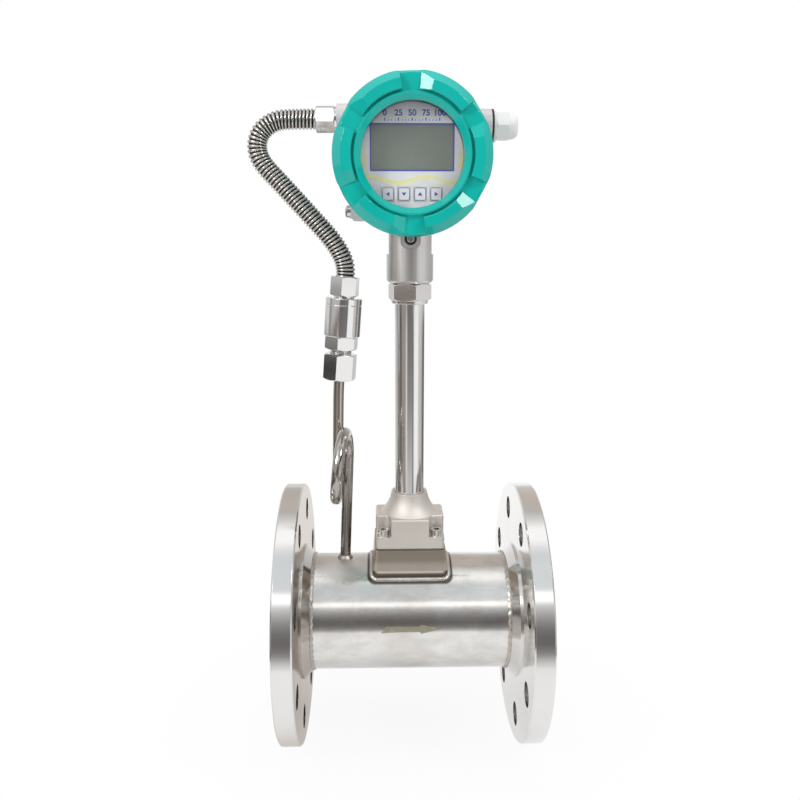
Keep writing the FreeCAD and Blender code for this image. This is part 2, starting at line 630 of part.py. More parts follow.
def stem():
    """The stem tube, its hexagon fitting and the neck adapter with its lock screw."""
    tube_foot = LIP_Z - TUBE_SOCKET
    tube_top = COLLAR_Z + STEM_IN_HEX
    parts["stem_tube"] = on_stem(ring(STEM_OD / 2, STEM_OD / 2 - STEM_WALL, tube_top - tube_foot, tube_foot))

    collar = turned([
        (0, COLLAR_Z), (COLLAR_R - 0.5, COLLAR_Z), (COLLAR_R, COLLAR_Z + 0.5), (COLLAR_R, HEX_Z + 0.5), (0, HEX_Z + 0.5),
    ])
    body = fused([
        collar, hex_bar(NECK_HEX_FLATS, NECK_HEX_HEIGHT, HEX_Z, NECK_HEX_TURN), rod(NIPPLE_R, NIPPLE_HEIGHT, HEX_TOP_Z),
    ])
    body = body.cut(rod(STEM_OD / 2 + SLIP, STEM_IN_HEX, COLLAR_Z)).cut(rod(WIRE_BORE_D / 2, NIPPLE_HEIGHT * 3, tube_top))
    parts["stem_hex"] = on_stem(body)

    chamfer = ADAPTER_CHAMFER
    adapter = turned([
        (0, ADAPTER_Z), (ADAPTER_R - chamfer, ADAPTER_Z), (ADAPTER_R, ADAPTER_Z + chamfer),
        (ADAPTER_R, ADAPTER_TOP_Z - 0.6), (ADAPTER_R - 0.6, ADAPTER_TOP_Z), (0, ADAPTER_TOP_Z),
    ])
    flats_z = ADAPTER_Z + ADAPTER_FLATS_UP
    for side in (-1, 1):
        near = side * ADAPTER_FLATS / 2
        far = side * FLANGE_R
        adapter = adapter.cut(block((min(near, far), -FLANGE_R, flats_z), (max(near, far), FLANGE_R, ADAPTER_TOP_Z + 1)))
    spot_z = ADAPTER_Z + SPOT_UP
    half = SPOT_WIDTH / 2
    outline = [
        V(-half, -SPOT_Y, ADAPTER_TOP_Z + 1), V(-half, -SPOT_Y, spot_z + SPOT_CORNER), V(SPOT_CORNER - half, -SPOT_Y, spot_z),
        V(half - SPOT_CORNER, -SPOT_Y, spot_z), V(half, -SPOT_Y, spot_z + SPOT_CORNER), V(half, -SPOT_Y, ADAPTER_TOP_Z + 1),
    ]
    adapter = adapter.cut(Part.Face(Part.makePolygon(outline + outline[:1])).extrude(V(0, -ADAPTER_R, 0)))
    spigot_hole = SPIGOT_R + RUNNING
    adapter = adapter.cut(rod(NIPPLE_R + SLIP, NIPPLE_HEIGHT + CLEAR, ADAPTER_Z)).cut(rod(WIRE_BORE_D / 2, ADAPTER_HEIGHT, ADAPTER_Z))
    adapter = adapter.cut(rod(spigot_hole, ADAPTER_HEIGHT, SPIGOT_FOOT_Z - CLEAR))
    lock_place = V(0, -SPOT_Y, LOCK_Z)
    seal_r = LOCK_D / 2 + LOCK_SEAL_SECTION + SLIP
    adapter = adapter.cut(Part.makeCylinder(LOCK_D / 2 + SLIP, ADAPTER_R, V(0, -ADAPTER_R, LOCK_Z), Y_WAY))
    adapter = adapter.cut(Part.makeCylinder(seal_r, LOCK_SEAL_SEAT, lock_place, Y_WAY))
    parts["neck_adapter"] = on_stem(adapter)

    lock_length = SPOT_Y + LOCK_OUT - SPIGOT_GROOVE_R - CLEAR
    lock = turned([
        (0, 0), (LOCK_D / 2 - 0.8, 0), (LOCK_D / 2, 0.8), (LOCK_D / 2, lock_length - 0.4), (LOCK_D / 2 - 0.4, lock_length),
        (0, lock_length),
    ]).cut(hex_bar(2.5, lock_length, lock_length - 2.2))
    parts["lock_screw"] = on_stem(placed(lock, V(0, -SPIGOT_GROOVE_R - CLEAR, LOCK_Z), FRONT))
    seal = torus(LOCK_D / 2 + LOCK_SEAL_SECTION / 2 + 0.02, LOCK_SEAL_SECTION)
    seal_y = -SPOT_Y + LOCK_SEAL_SEAT - LOCK_SEAL_SECTION / 2
    parts["lock_screw_seal"] = on_stem(placed(seal, V(0, seal_y, LOCK_Z), FRONT))


# Siphon and pressure sensor

def loop_points():
    """The corners of the pigtail's one turn, drawn sideways as it was wound."""
    points = []
    step = 360 / LOOP_CORNERS
    reach = LOOP_R / math.cos(math.radians(step / 2))
    for k in range(LOOP_CORNERS):
        angle = step * (k + 0.5)
        turn = math.radians(angle)
        x = LOOP_START_X - LOOP_ADVANCE * angle / 360 - LOOP_DRAW * math.sin(math.radians((angle - 45) / 2)) ** 2
        points.append(V(x, -LOOP_R + reach * math.cos(turn), LOOP_Z + reach * math.sin(turn)))
    return points


def siphon():
    """The pigtail siphon with its weld, and the union that holds it to the sensor."""
    tube_end = UNION_START + UNION_FLOOR + FERRULE_LENGTH
    loop = loop_points()
    points = [V(SIPHON_X, 0, PIPE_R - SIPHON_OD / 2), V((SIPHON_X + loop[0].x) / 2 - 0.2, 0, (PIPE_R + LOOP_Z) / 2)] + loop
    points += [STACK_FOOT - STACK_WAY * SIPHON_OD, STACK_FOOT + STACK_WAY * tube_end]
    pipe = Part.makeCylinder(PIPE_R, FACE_TO_FACE, V(0, 0, 0), X_WAY)
    parts["siphon_tube"] = pipe_along("siphon_tube", points, SIPHON_OD, SIPHON_ID, LOOP_SHARE).cut(pipe)
    bead = turned([
        (0, PIPE_R - 2), (SIPHON_WELD_R, PIPE_R - 2), (SIPHON_WELD_R, PIPE_R + 0.4),
        (SIPHON_OD / 2 + 0.2, PIPE_R + SIPHON_WELD_HEIGHT), (0, PIPE_R + SIPHON_WELD_HEIGHT),
    ])
    bead.translate(V(SIPHON_X, 0, 0))
    core = rod(SIPHON_OD / 2, PIPE_R)
    start = points[0]
    core = placed(core, start, points[1] - start)
    parts["siphon_weld"] = bead.cut(pipe).cut(core)

    start = UNION_START
    floor = start + UNION_FLOOR
    nut = hex_bar(UNION_FLATS, UNION_LENGTH, start, STACK_HEX_TURN)
    nut = nut.cut(rod(SIPHON_OD / 2 + SLIP, UNION_FLOOR, start)).cut(rod(PORT_NECK_R + THREAD_GAP, UNION_LENGTH, floor))
    parts["siphon_union_nut"] = on_stack(nut)
    ferrule = turned([
        (SIPHON_OD / 2, floor), (FERRULE_R - 0.8, floor), (FERRULE_R, floor + 0.8), (FERRULE_R, tube_end), (SIPHON_OD / 2, tube_end),
    ])
    parts["siphon_ferrule"] = on_stack(ferrule)
    parts["union_washer"] = on_stack(ring(FERRULE_R, SIPHON_ID / 2, WASHER_T, tube_end))


def pressure_sensor():
    """The sensor: threaded port with its hexagon, barrel, and the nut that takes the hose."""
    neck_z = UNION_START + UNION_FLOOR + FERRULE_LENGTH + WASHER_T
    hex_z = UNION_START + UNION_LENGTH + PORT_NECK_SHOWN
    barrel_z = hex_z + PORT_HEX_LENGTH
    port = fused([
        rod(PORT_NECK_R, hex_z - neck_z, neck_z),
        hex_bar(UNION_FLATS, PORT_HEX_LENGTH, hex_z, STACK_HEX_TURN),
    ]).cut(rod(PORT_BORE_D / 2, hex_z - neck_z + PORT_HEX_LENGTH / 2, neck_z))
    parts["pressure_port"] = on_stack(port)

    lid_z = barrel_z + BARREL_LENGTH
    top_z = lid_z + BARREL_NECK
    seam_z = lid_z - BARREL_SEAM_DOWN
    seam_r = BARREL_R - BARREL_SEAM[1]
    barrel = turned([
        (0, barrel_z), (BARREL_R - BARREL_EDGE, barrel_z), (BARREL_R, barrel_z + BARREL_EDGE), (BARREL_R, seam_z - BARREL_SEAM[0]),
        (seam_r, seam_z - BARREL_SEAM[0] / 2), (BARREL_R, seam_z), (BARREL_R, lid_z - BARREL_EDGE), (BARREL_R - BARREL_EDGE, lid_z),
        (BARREL_NECK_R, lid_z), (BARREL_NECK_R, top_z), (0, top_z),
    ]).cut(rod(HOSE_SPIGOT_R + SLIP, HOSE_SPIGOT + BARREL_NECK, top_z - HOSE_SPIGOT))
    parts["sensor_barrel"] = on_stack(barrel)

    nut = fused([
        hex_bar(HOSE_NUT_FLATS, HOSE_NUT_LENGTH, top_z, STACK_HEX_TURN),
        rod(HOSE_SPIGOT_R, HOSE_SPIGOT - CLEAR, top_z - HOSE_SPIGOT + CLEAR),
    ]).cut(rod(HOSE_SPIGOT_R - 1.5, HOSE_NUT_LENGTH * 3))
    parts["hose_bottom_nut"] = on_stack(nut)
    foot = STACK_FOOT + STACK_WAY * (top_z + HOSE_NUT_LENGTH)
    top = HEAD + V(-LEFT_BOSS_END - TOP_NUT_COLLAR - TOP_NUT_LENGTH, PORT_BACK, LEFT_BOSS_UP)
    points = [top, top - X_WAY * HOSE_TOP_RUN] + HOSE_ROUTE + [foot + STACK_WAY * HOSE_FOOT_RUN, foot]
    parts["flex_hose"] = pipe_along("flex_hose", points, HOSE_OD, HOSE_ID)


# Head housing and its side entries

def transmitter_housing():
    """The cast housing: two threaded ends, side entries, an earth lug and the spigot that turns in the neck."""
    body = rod(BARREL_OUT_R, 2 * BARREL_HALF, -BARREL_HALF)
    ends = rod(COVER_THREAD_R, 2 * SPIGOT_END, -SPIGOT_END)
    lug_points = [
        V(-LUG_LEFT, EARTH_SCREW_DOWN * -1 + 8, 0), V(-LUG_LEFT, -LUG_BOTTOM + 2.5, 0), V(-LUG_LEFT + 2.5, -LUG_BOTTOM, 0),
        V(-LUG_BOTTOM / 2, -LUG_BOTTOM, 0), V(-LUG_BOTTOM / 2, -LUG_BOTTOM / 2, 0), V(-LUG_LEFT + 4, -LUG_BOTTOM / 2, 0),
    ]
    lug = Part.Face(Part.makePolygon(lug_points + lug_points[:1])).extrude(V(0, 0, LUG_THICKNESS))
    lug.translate(V(0, 0, -LUG_THICKNESS / 2))
    shell = in_head(fused([body, ends, lug]))

    neck_z = ADAPTER_TOP_Z + NECK_TO_ADAPTER
    groove = LOCK_Z - SPIGOT_GROOVE_W / 2
    neck = on_stem(turned([
        (0, SPIGOT_FOOT_Z), (SPIGOT_R - 0.8, SPIGOT_FOOT_Z), (SPIGOT_R, SPIGOT_FOOT_Z + 0.8), (SPIGOT_R, groove),
        (SPIGOT_GROOVE_R, groove), (SPIGOT_GROOVE_R, groove + SPIGOT_GROOVE_W), (SPIGOT_R, groove + SPIGOT_GROOVE_W),
        (SPIGOT_R, neck_z), (NECK_BOSS_R, neck_z), (NECK_BOSS_TOP_R, HEAD_Z - CAVITY_R), (0, HEAD_Z - CAVITY_R),
    ]))
    left = on_side(Part.makeCone(LEFT_BOSS_R + BOSS_DRAFT, LEFT_BOSS_R, LEFT_BOSS_END, V(0, 0, 0)), -1, LEFT_BOSS_UP)
    right = on_side(Part.makeCone(RIGHT_BOSS_R + BOSS_DRAFT, RIGHT_BOSS_R, RIGHT_BOSS_END, V(0, 0, 0)), 1, RIGHT_BOSS_UP)
    housing = fused([shell, neck, left, right])

    terminal_bosses = [
        rod(4.5, PARTITION[0] * 2, PARTITION[0] - TERMINAL_BOSS).translate(V(side * TERMINAL_SCREW_OUT, 0, 0)) for side in (-1, 1)
    ]
    front_space = rod(CAVITY_R, SPIGOT_END, PARTITION[1])
    rear_space = rod(CAVITY_R, SPIGOT_END + PARTITION[0], -SPIGOT_END).cut(Part.makeCompound(terminal_bosses))
    housing = housing.cut(in_head(front_space)).cut(in_head(rear_space))
    housing = housing.cut(on_stem(rod(HEAD_WIRE_D / 2, HEAD_Z - SPIGOT_FOOT_Z - CAVITY_R / 2, SPIGOT_FOOT_Z)))
    housing = housing.cut(on_side(rod(LEFT_THREAD_R + SLIP, LEFT_BOSS_END), -1, LEFT_BOSS_UP))
    housing = housing.cut(on_side(rod(RIGHT_THREAD_R + SLIP, RIGHT_BOSS_END), 1, RIGHT_BOSS_UP))
    screw_holes = [
        rod(M3_D / 2 + RUNNING, TERMINAL_BOSS + 1, PARTITION[0] - TERMINAL_BOSS).translate(V(side * TERMINAL_SCREW_OUT, 0, 0))
        for side in (-1, 1)
    ]
    housing = housing.cut(in_head(Part.makeCompound(screw_holes)))
    earth_hole = rod(M5_D / 2 + RUNNING, 2 * EARTH_SHANK, -EARTH_SHANK - 1)
    earth = placed(earth_hole, HEAD + V(-LUG_LEFT, 0, -EARTH_SCREW_DOWN), V(-1, 0, 0))
    parts["transmitter_housing"] = housing.cut(earth)


def earth_screw():
    """The earth screw and its washer on the housing's lug."""
    place = HEAD + V(-LUG_LEFT, 0, -EARTH_SCREW_DOWN)
    radius, height = EARTH_HEAD
    washer_r, washer_t = EARTH_WASHER
    screw = turned([
        (0, -EARTH_SHANK), (M5_D / 2, -EARTH_SHANK), (M5_D / 2, washer_t), (radius, washer_t), (radius, washer_t + height - 1.2),
        (radius - 1.2, washer_t + height), (0, washer_t + height),
    ]).cut(block((-radius, -0.6, washer_t + height - 1.3), (radius, 0.6, washer_t + height + 1)))
    parts["earth_screw"] = placed(screw, place, V(-1, 0, 0))
    parts["earth_washer"] = placed(ring(washer_r, M5_D / 2 + SLIP, washer_t), place, V(-1, 0, 0))


def hose_top_nut():
    """The nut that holds the hose to the left entry."""
    nut_end = LEFT_BOSS_END + TOP_NUT_COLLAR + TOP_NUT_LENGTH
    nut = fused([
        rod(LEFT_THREAD_R, LEFT_THREAD_IN, LEFT_BOSS_END - LEFT_THREAD_IN),
        rod(TOP_NUT_FLATS / 2, TOP_NUT_COLLAR, LEFT_BOSS_END),
        hex_bar(TOP_NUT_FLATS, TOP_NUT_LENGTH, LEFT_BOSS_END + TOP_NUT_COLLAR, 15),
    ]).cut(rod(LEFT_THREAD_R - 1.5, nut_end))
    parts["hose_top_nut"] = on_side(nut, -1, LEFT_BOSS_UP)


def cable_gland():
    """The nylon cable gland in the right entry: washer, body, rubber seal and domed nut."""
    start = RIGHT_BOSS_END
    flange_z = start + GLAND_WASHER_T
    out_z = flange_z + GLAND_FLANGE_T
    washer = ring(RIGHT_BOSS_R, RIGHT_THREAD_R + SLIP, GLAND_WASHER_T, start)
    body = fused([
        rod(RIGHT_THREAD_R, GLAND_THREAD_IN + GLAND_WASHER_T, start - GLAND_THREAD_IN),
        rod(GLAND_FLANGE_R, GLAND_FLANGE_T, flange_z),
        rod(GLAND_THREAD_R, GLAND_THREAD_OUT, out_z),
    ]).cut(rod(GLAND_BORE_R, GLAND_THREAD_IN * 4, start - GLAND_THREAD_IN))
    hex_end = out_z + 0.2 + GLAND_NUT_HEX
    nut_end = hex_end + GLAND_DOME
    dome = turned([
        (0, hex_end), (GLAND_NUT_FLATS / 2, hex_end), (GLAND_NUT_FLATS / 2 - 0.6, hex_end + GLAND_DOME * 0.55),
        (GLAND_NUT_FLATS / 2 - 1.6, hex_end + GLAND_DOME * 0.85), (GLAND_DOME_END_R, nut_end), (0, nut_end),
    ])
    nut = fused([hex_bar(GLAND_NUT_FLATS, GLAND_NUT_HEX, out_z + 0.2, 90), dome])
    seal_end = out_z + GLAND_THREAD_OUT + 1.6
    nut = nut.cut(rod(GLAND_THREAD_R + SLIP, seal_end - out_z - 0.2, out_z + 0.2)).cut(rod(GLAND_MOUTH_R, GLAND_DOME * 3, seal_end - 1))
    seal = turned([
        (GLAND_SEAL_R, seal_end - GLAND_SEAL_LENGTH), (GLAND_BORE_R - RUNNING, seal_end - GLAND_SEAL_LENGTH),
        (GLAND_BORE_R - RUNNING, seal_end - 1.6), (GLAND_THREAD_R - 0.5, seal_end - 1.6), (GLAND_THREAD_R - 0.5, seal_end),
        (GLAND_SEAL_R, seal_end),
    ])
    parts["gland_washer"] = on_side(washer, 1, RIGHT_BOSS_UP)
    parts["gland_body"] = on_side(body, 1, RIGHT_BOSS_UP)
    parts["gland_nut"] = on_side(nut, 1, RIGHT_BOSS_UP)
    parts["gland_seal"] = on_side(seal, 1, RIGHT_BOSS_UP)


# Covers

def cover_grip():
    """One raised grip on a cover's face: steep at its first end, a ramp at the other."""
    section = [
        (GRIP_IN_R, COVER_FACE - 1), (GRIP_OUT_R, COVER_SHOULDER - 1), (GRIP_OUT_R, COVER_SHOULDER + GRIP_BEVEL_UP),
        (GRIP_TOP_R, GRIP_TOP), (GRIP_IN_R + GRIP_EDGE, GRIP_TOP), (GRIP_IN_R, GRIP_TOP - GRIP_EDGE),
    ]
    points = [V(r, 0, z) for r, z in section]
    grip = Part.Face(Part.makePolygon(points + points[:1])).revolve(V(0, 0, 0), Z_WAY, GRIP_SPAN)
    wedge = Part.makeBox(COVER_R, COVER_R, COVER_R, V(0, 0, 0))
    wedge.rotate(V(0, 0, 0), V(1, 0, 0), -RAMP_DEG)
    wedge.translate(V(0, 0, COVER_FACE))
    wedge.rotate(V(0, 0, 0), Z_WAY, GRIP_SPAN)
    drop = (GRIP_TOP - COVER_FACE) / math.tan(math.radians(RAMP_DEG))
    back = math.degrees(drop / GRIP_OUT_R)
    wedge.rotate(V(0, 0, 0), Z_WAY, -back)
    wedge.translate(V(0, 0, GRIP_TOP - COVER_FACE))
    return grip.cut(wedge)


def cover(inner):
    """A screwed cover drawn facing +Z: its wall and grips, with the given inner outline of (radius, height) points."""
    low, high = COVER_SEAL_GROOVE
    bore = COVER_THREAD_R + THREAD_GAP
    groove_r = bore + COVER_SEAL_SECTION
    outline = [
        (bore, COVER_FOOT), (COVER_R - 0.8, COVER_FOOT), (COVER_R, COVER_FOOT + 0.8), (COVER_R, COVER_SHOULDER),
        (COVER_FACE_R, COVER_FACE), (RING_OUT_R, COVER_FACE),
    ] + inner + [
        (bore, COVER_BORE_END), (bore, high), (groove_r, high), (groove_r, low), (bore, low),
    ]
    grip = cover_grip()
    grip.rotate(V(0, 0, 0), Z_WAY, GRIP_START)
    flat = block((COVER_FLAT_R, -COVER_R, COVER_FOOT + COVER_FLAT_UP), (COVER_R + 1, COVER_R, GRIP_TOP + 1))
    flat.rotate(V(0, 0, 0), Z_WAY, GRIP_START + GRIP_SPAN / 2 + 180 / LUG_COUNT)
    return fused([turned(outline)] + around(grip, LUG_COUNT)).cut(Part.makeCompound(around(flat, LUG_COUNT)))


def covers():
    """The front cover with its window, the blank rear cover and their O-rings."""
    window_side = [
        (RING_TOP_R, RING_TOP), (RING_IN_R, RING_TOP), (WINDOW_R, COVER_FACE), (WINDOW_R, WINDOW_LIP),
        (GLASS_BORE_R, WINDOW_LIP), (GLASS_BORE_R, COVER_BORE_END),
    ]
    blank_side = [
        (RING_TOP_R, RING_TOP), (RING_IN_R, RING_TOP), (RING_IN_R - 2, COVER_FACE), (BLANK_RECESS_R, COVER_FACE),
        (BLANK_RECESS_R, COVER_FACE - BLANK_RECESS), (0, COVER_FACE - BLANK_RECESS), (0, BLANK_INSIDE),
        (GLASS_BORE_R, BLANK_INSIDE), (GLASS_BORE_R, COVER_BORE_END),
    ]
    parts["front_cover"] = in_head(cover(window_side))
    parts["rear_cover"] = in_head_rear(cover(blank_side))
    seal_height = sum(COVER_SEAL_GROOVE) / 2
    seal = torus(COVER_THREAD_R + THREAD_GAP + COVER_SEAL_SECTION / 2 - SLIP, COVER_SEAL_SECTION, seal_height)
    parts["front_o_ring"] = in_head(seal)
    parts["rear_o_ring"] = in_head_rear(seal)

    parts["window_gasket"] = in_head(ring(GLASS_R, WINDOW_R, GLASS_GASKET_T, GLASS_FRONT))
    parts["cover_window"] = in_head(rod(GLASS_R, GLASS_T, GLASS_BACK))
    parts["window_ring"] = in_head(ring(GLASS_BORE_R - SLIP, WINDOW_R + 0.5, RETAINER_T, GLASS_BACK - RETAINER_T))


# Display and electronics

def key_places():
    """Each key's name and its centre on the face plate."""
    first = -(len(KEY_NAMES) - 1) / 2
    return [(name, (first + k) * KEY_PITCH, -KEY_DOWN) for k, name in enumerate(KEY_NAMES)]


def plate_block(size, centre, bottom, top):
    """A block with a rectangular face, centred on a point of the face plate."""
    a = size[0] / 2
    b = size[1] / 2
    return block((centre[0] - a, centre[1] - b, bottom), (centre[0] + a, centre[1] + b, top))


def display_screws_at(shape):
    """The shape at each display screw."""
    copies = []
    for angle in DISPLAY_SCREW_ANGLES:
        copy = shape.copy()
        copy.translate(V(DISPLAY_SCREW_R, 0, 0))
        copy.rotate(V(0, 0, 0), Z_WAY, angle + 45)
        copies.append(copy)
    return Part.makeCompound(copies)


def display():
    """The face plate under its film, the four keys, the display panel, the board and the module behind it."""
    plate_back = PLATE_FRONT - PLATE_T
    board_front = BOARD_BACK + BOARD_T
    plate = rod(PLATE_R, PLATE_T, plate_back)
    plate = plate.cut(plate_block(LCD_SIZE, (0, LCD_UP), plate_back, PLATE_FRONT))
    hole = (KEY_SIZE[0] + 2 * KEY_GAP, KEY_SIZE[1] + 2 * KEY_GAP)
    dome_top = plate_back - CLEAR - KEY_FLANGE_T - KEY_TRAVEL - 0.1
    pad_top = board_front + KEYPAD_T
    domes = []
    film = rod(PLATE_R, FILM_T, PLATE_FRONT).cut(plate_block(FILM_WINDOW, (0, LCD_UP), PLATE_FRONT, PLATE_FRONT + FILM_T))
    for name, u, v in key_places():
        plate = plate.cut(plate_block(hole, (u, v), plate_back, PLATE_FRONT))
        film = film.cut(plate_block(hole, (u, v), PLATE_FRONT, PLATE_FRONT + FILM_T))
        flange_top = plate_back - CLEAR
        flange = (KEY_SIZE[0] + 2 * KEY_FLANGE, KEY_SIZE[1] + 2 * KEY_FLANGE)
        key = fused([
            plate_block(KEY_SIZE, (u, v), flange_top - KEY_FLANGE_T, PLATE_FRONT + KEY_OUT),
            plate_block(flange, (u, v), flange_top - KEY_FLANGE_T, flange_top),
        ])
        parts[name] = in_head(key)
        domes.append(Part.makeCone(DOME_R[0], DOME_R[1], dome_top - pad_top, V(u, v, pad_top)))
    shank = rod(M3_D / 2 + SLIP, PLATE_FRONT)
    sink = Part.makeCone(M3_D / 2, M3_HEAD_D / 2, (M3_HEAD_D - M3_D) / 2, V(0, 0, PLATE_FRONT - (M3_HEAD_D - M3_D) / 2))
    parts["face_plate"] = in_head(plate.cut(display_screws_at(shank)).cut(display_screws_at(sink)))
    parts["face_film"] = in_head(film)

    glass = plate_block((LCD_SIZE[0] - 0.4, LCD_SIZE[1] - 0.4), (0, LCD_UP), plate_back, PLATE_FRONT - LCD_SUNK)
    frame = plate_block((LCD_SIZE[0] + LCD_FRAME, LCD_SIZE[1] + LCD_FRAME), (0, LCD_UP), board_front, plate_back)
    parts["lcd_module"] = in_head(fused([glass, frame]))

    pad_size = (4 * KEY_PITCH + 2 * KEYPAD_MARGIN - 2, KEY_SIZE[1] + KEYPAD_MARGIN)
    pad = plate_block(pad_size, (0, -KEY_DOWN), board_front, pad_top)
    relief = display_screws_at(rod(SPACER_D / 2 + KEYPAD_RELIEF, SPIGOT_END))
    parts["key_pad"] = in_head(fused([pad] + domes).cut(relief))

    parts["display_board"] = in_head(rod(BOARD_R, BOARD_T, BOARD_BACK).cut(display_screws_at(shank)))
    parts["display_spacers"] = in_head(display_screws_at(ring(SPACER_D / 2, M3_D / 2 + SLIP, plate_back - board_front, board_front)))
    standoff = ring(SPACER_D / 2, M3_D / 2 + SLIP, BOARD_BACK - PARTITION[1], PARTITION[1])
    parts["board_standoffs"] = in_head(display_screws_at(standoff))
    screw_end = PARTITION[1] + 2
    head_h = (M3_HEAD_D - M3_D) / 2
    screw = turned([
        (0, screw_end), (M3_D / 2, screw_end), (M3_D / 2, PLATE_FRONT - head_h), (M3_HEAD_D / 2, PLATE_FRONT), (0, PLATE_FRONT),
    ])
    parts["display_screws"] = in_head(display_screws_at(screw))
    module = rod(MODULE_R, MODULE_FRONT - PARTITION[1], PARTITION[1])
    notch = rod(SPACER_D / 2 + 1.0, SPIGOT_END)
    parts["electronics_module"] = in_head(module.cut(display_screws_at(notch)))


def terminals():
    """The terminal board, its six-way block and the screws, in the rear compartment."""
    board_top = PARTITION[0] - TERMINAL_BOSS
    board_bottom = board_top - BOARD_T
    places = [V(side * TERMINAL_SCREW_OUT, 0, 0) for side in (-1, 1)]
    board = rod(TERMINAL_BOARD_R, BOARD_T, board_bottom)
    screws = []
    radius, height = PAN_HEAD
    for place in places:
        board = board.cut(rod(M3_D / 2 + SLIP, BOARD_T, board_bottom).translate(place))
        screw = turned([
            (0, board_bottom - height), (radius - 0.5, board_bottom - height), (radius, board_bottom - height + 0.5),
            (radius, board_bottom), (M3_D / 2, board_bottom), (M3_D / 2, board_top + TERMINAL_BOSS), (0, board_top + TERMINAL_BOSS),
        ])
        screws.append(screw.translate(place))
    parts["terminal_board"] = in_head(board)
    parts["terminal_board_screws"] = in_head(Part.makeCompound(screws))

    length, width, depth = TERMINAL_BLOCK
    low = board_bottom - depth
    body = block((-length / 2, -width / 2, low), (length / 2, width / 2, board_bottom))
    body = body.cut(block((-length / 2, 0, low), (length / 2, width / 2, low + TERMINAL_STEP)))
    ways = []
    for k in range(TERMINAL_COUNT):
        x = (k - (TERMINAL_COUNT - 1) / 2) * TERMINAL_WAYS
        body = body.cut(rod(TERMINAL_SCREW_R + SLIP, TERMINAL_STEP, low + TERMINAL_STEP).translate(V(x, width / 4, 0)))
        body = body.cut(block((x - 2.2, -width / 2, low + 2), (x + 2.2, -width / 4, low + 7)))
        screw = rod(TERMINAL_SCREW_R, TERMINAL_STEP - 0.5, low + TERMINAL_STEP + 0.5)
        ways.append(screw.cut(block((-0.4, -3, low), (0.4, 3, low + TERMINAL_STEP + 1.2))).translate(V(x, width / 4, 0)))
    parts["terminal_block"] = in_head(body)
    parts["terminal_screws"] = in_head(Part.makeCompound(ways))


flanged_pipe()
sensor_seat()
vortex_probe()
stem_base()
stem()
siphon()
pressure_sensor()
transmitter_housing()
earth_screw()
hose_top_nut()
cable_gland()
covers()
display()
terminals()

os.makedirs("parts", exist_ok=True)
for name, shape in parts.items():
    shape.exportStep("parts/" + name + ".step")
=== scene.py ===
import math
import random

import bmesh
import bpy
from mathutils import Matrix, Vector


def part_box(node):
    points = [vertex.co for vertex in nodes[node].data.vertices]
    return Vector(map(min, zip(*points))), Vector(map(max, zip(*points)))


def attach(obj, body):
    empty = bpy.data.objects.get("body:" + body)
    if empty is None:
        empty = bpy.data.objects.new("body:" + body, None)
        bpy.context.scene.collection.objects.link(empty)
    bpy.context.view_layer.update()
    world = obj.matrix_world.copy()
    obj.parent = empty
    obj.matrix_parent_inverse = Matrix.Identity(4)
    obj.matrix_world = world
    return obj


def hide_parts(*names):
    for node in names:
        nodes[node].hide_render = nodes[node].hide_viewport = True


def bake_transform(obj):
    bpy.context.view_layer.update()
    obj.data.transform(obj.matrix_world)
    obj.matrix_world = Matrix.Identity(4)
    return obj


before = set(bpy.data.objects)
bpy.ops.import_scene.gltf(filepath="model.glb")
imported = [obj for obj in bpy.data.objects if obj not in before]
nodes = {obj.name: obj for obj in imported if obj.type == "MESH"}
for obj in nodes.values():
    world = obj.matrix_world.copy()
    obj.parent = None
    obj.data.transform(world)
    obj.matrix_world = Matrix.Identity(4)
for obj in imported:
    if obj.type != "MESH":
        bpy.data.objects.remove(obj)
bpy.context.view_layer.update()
MM = 0.001

# The same places as in the part's source, in metres. The stack is the union nut, the pressure sensor and the
# hose's lower nut, which lean a little
PIPE_R = 0.0445
STEM_X = 0.1
HEAD_Z = 0.3433
PLATE_Y = -0.0387
KEY_Y = -0.0391
STACK_LEAN = math.radians(4.3)
STACK_FOOT = Vector((0.0473, 0, 0.1856))
STACK_WAY = Vector((math.sin(STACK_LEAN), 0, math.cos(STACK_LEAN)))
HOSE_TOP = (0.0336, 0.006, 0.3722)
HOSE_FOOT = tuple(STACK_FOOT + STACK_WAY * 0.0771)
HOSE_ROUTE = [
    HOSE_TOP, (0.0196, 0.006, 0.3722), (0.0038, 0.0048, 0.3712), (-0.0080, 0.0034, 0.3612),
    (-0.0082, 0.0020, 0.3450), (0.0086, 0.0004, 0.3274), (0.0290, -0.0012, 0.3052),
    (0.0434, -0.0014, 0.2894), (0.0509, -0.0007, 0.2776), tuple(STACK_FOOT + STACK_WAY * 0.0831), HOSE_FOOT,
]
HOSE_R = 0.0072

# Just inside the edges of the flanges' raised faces: along the pipe from its middle, and from its axis
SEALING_ALONG = 0.0995
SEALING_R = 0.0688

# The print on the face plate, in millimetres from the head's axis
LCD_UP = 5.6
LCD_FRAME = (55.9, 30.5)
SCALE_START = -18.0
TICK_STEP = 2.25
TICKS_PER_NUMBER = 4
NUMBERS = 5
TICKS_UP = 22.2
NUMBERS_UP = 27.2
NUMBER_SIZE = 5.4
KEYS_UP = -24.3
KEY_FRAME = (7.6, 8.4)
PRINT_DEPTH = 0.00005


# Camera

CAMERA_PLACE = (0.0800, -0.5949, 0.2956)
CAMERA_YAW = 0.0216
CAMERA_PITCH = -0.2077
CAMERA_LENS = 36.31
CAMERA_SENSOR = 36


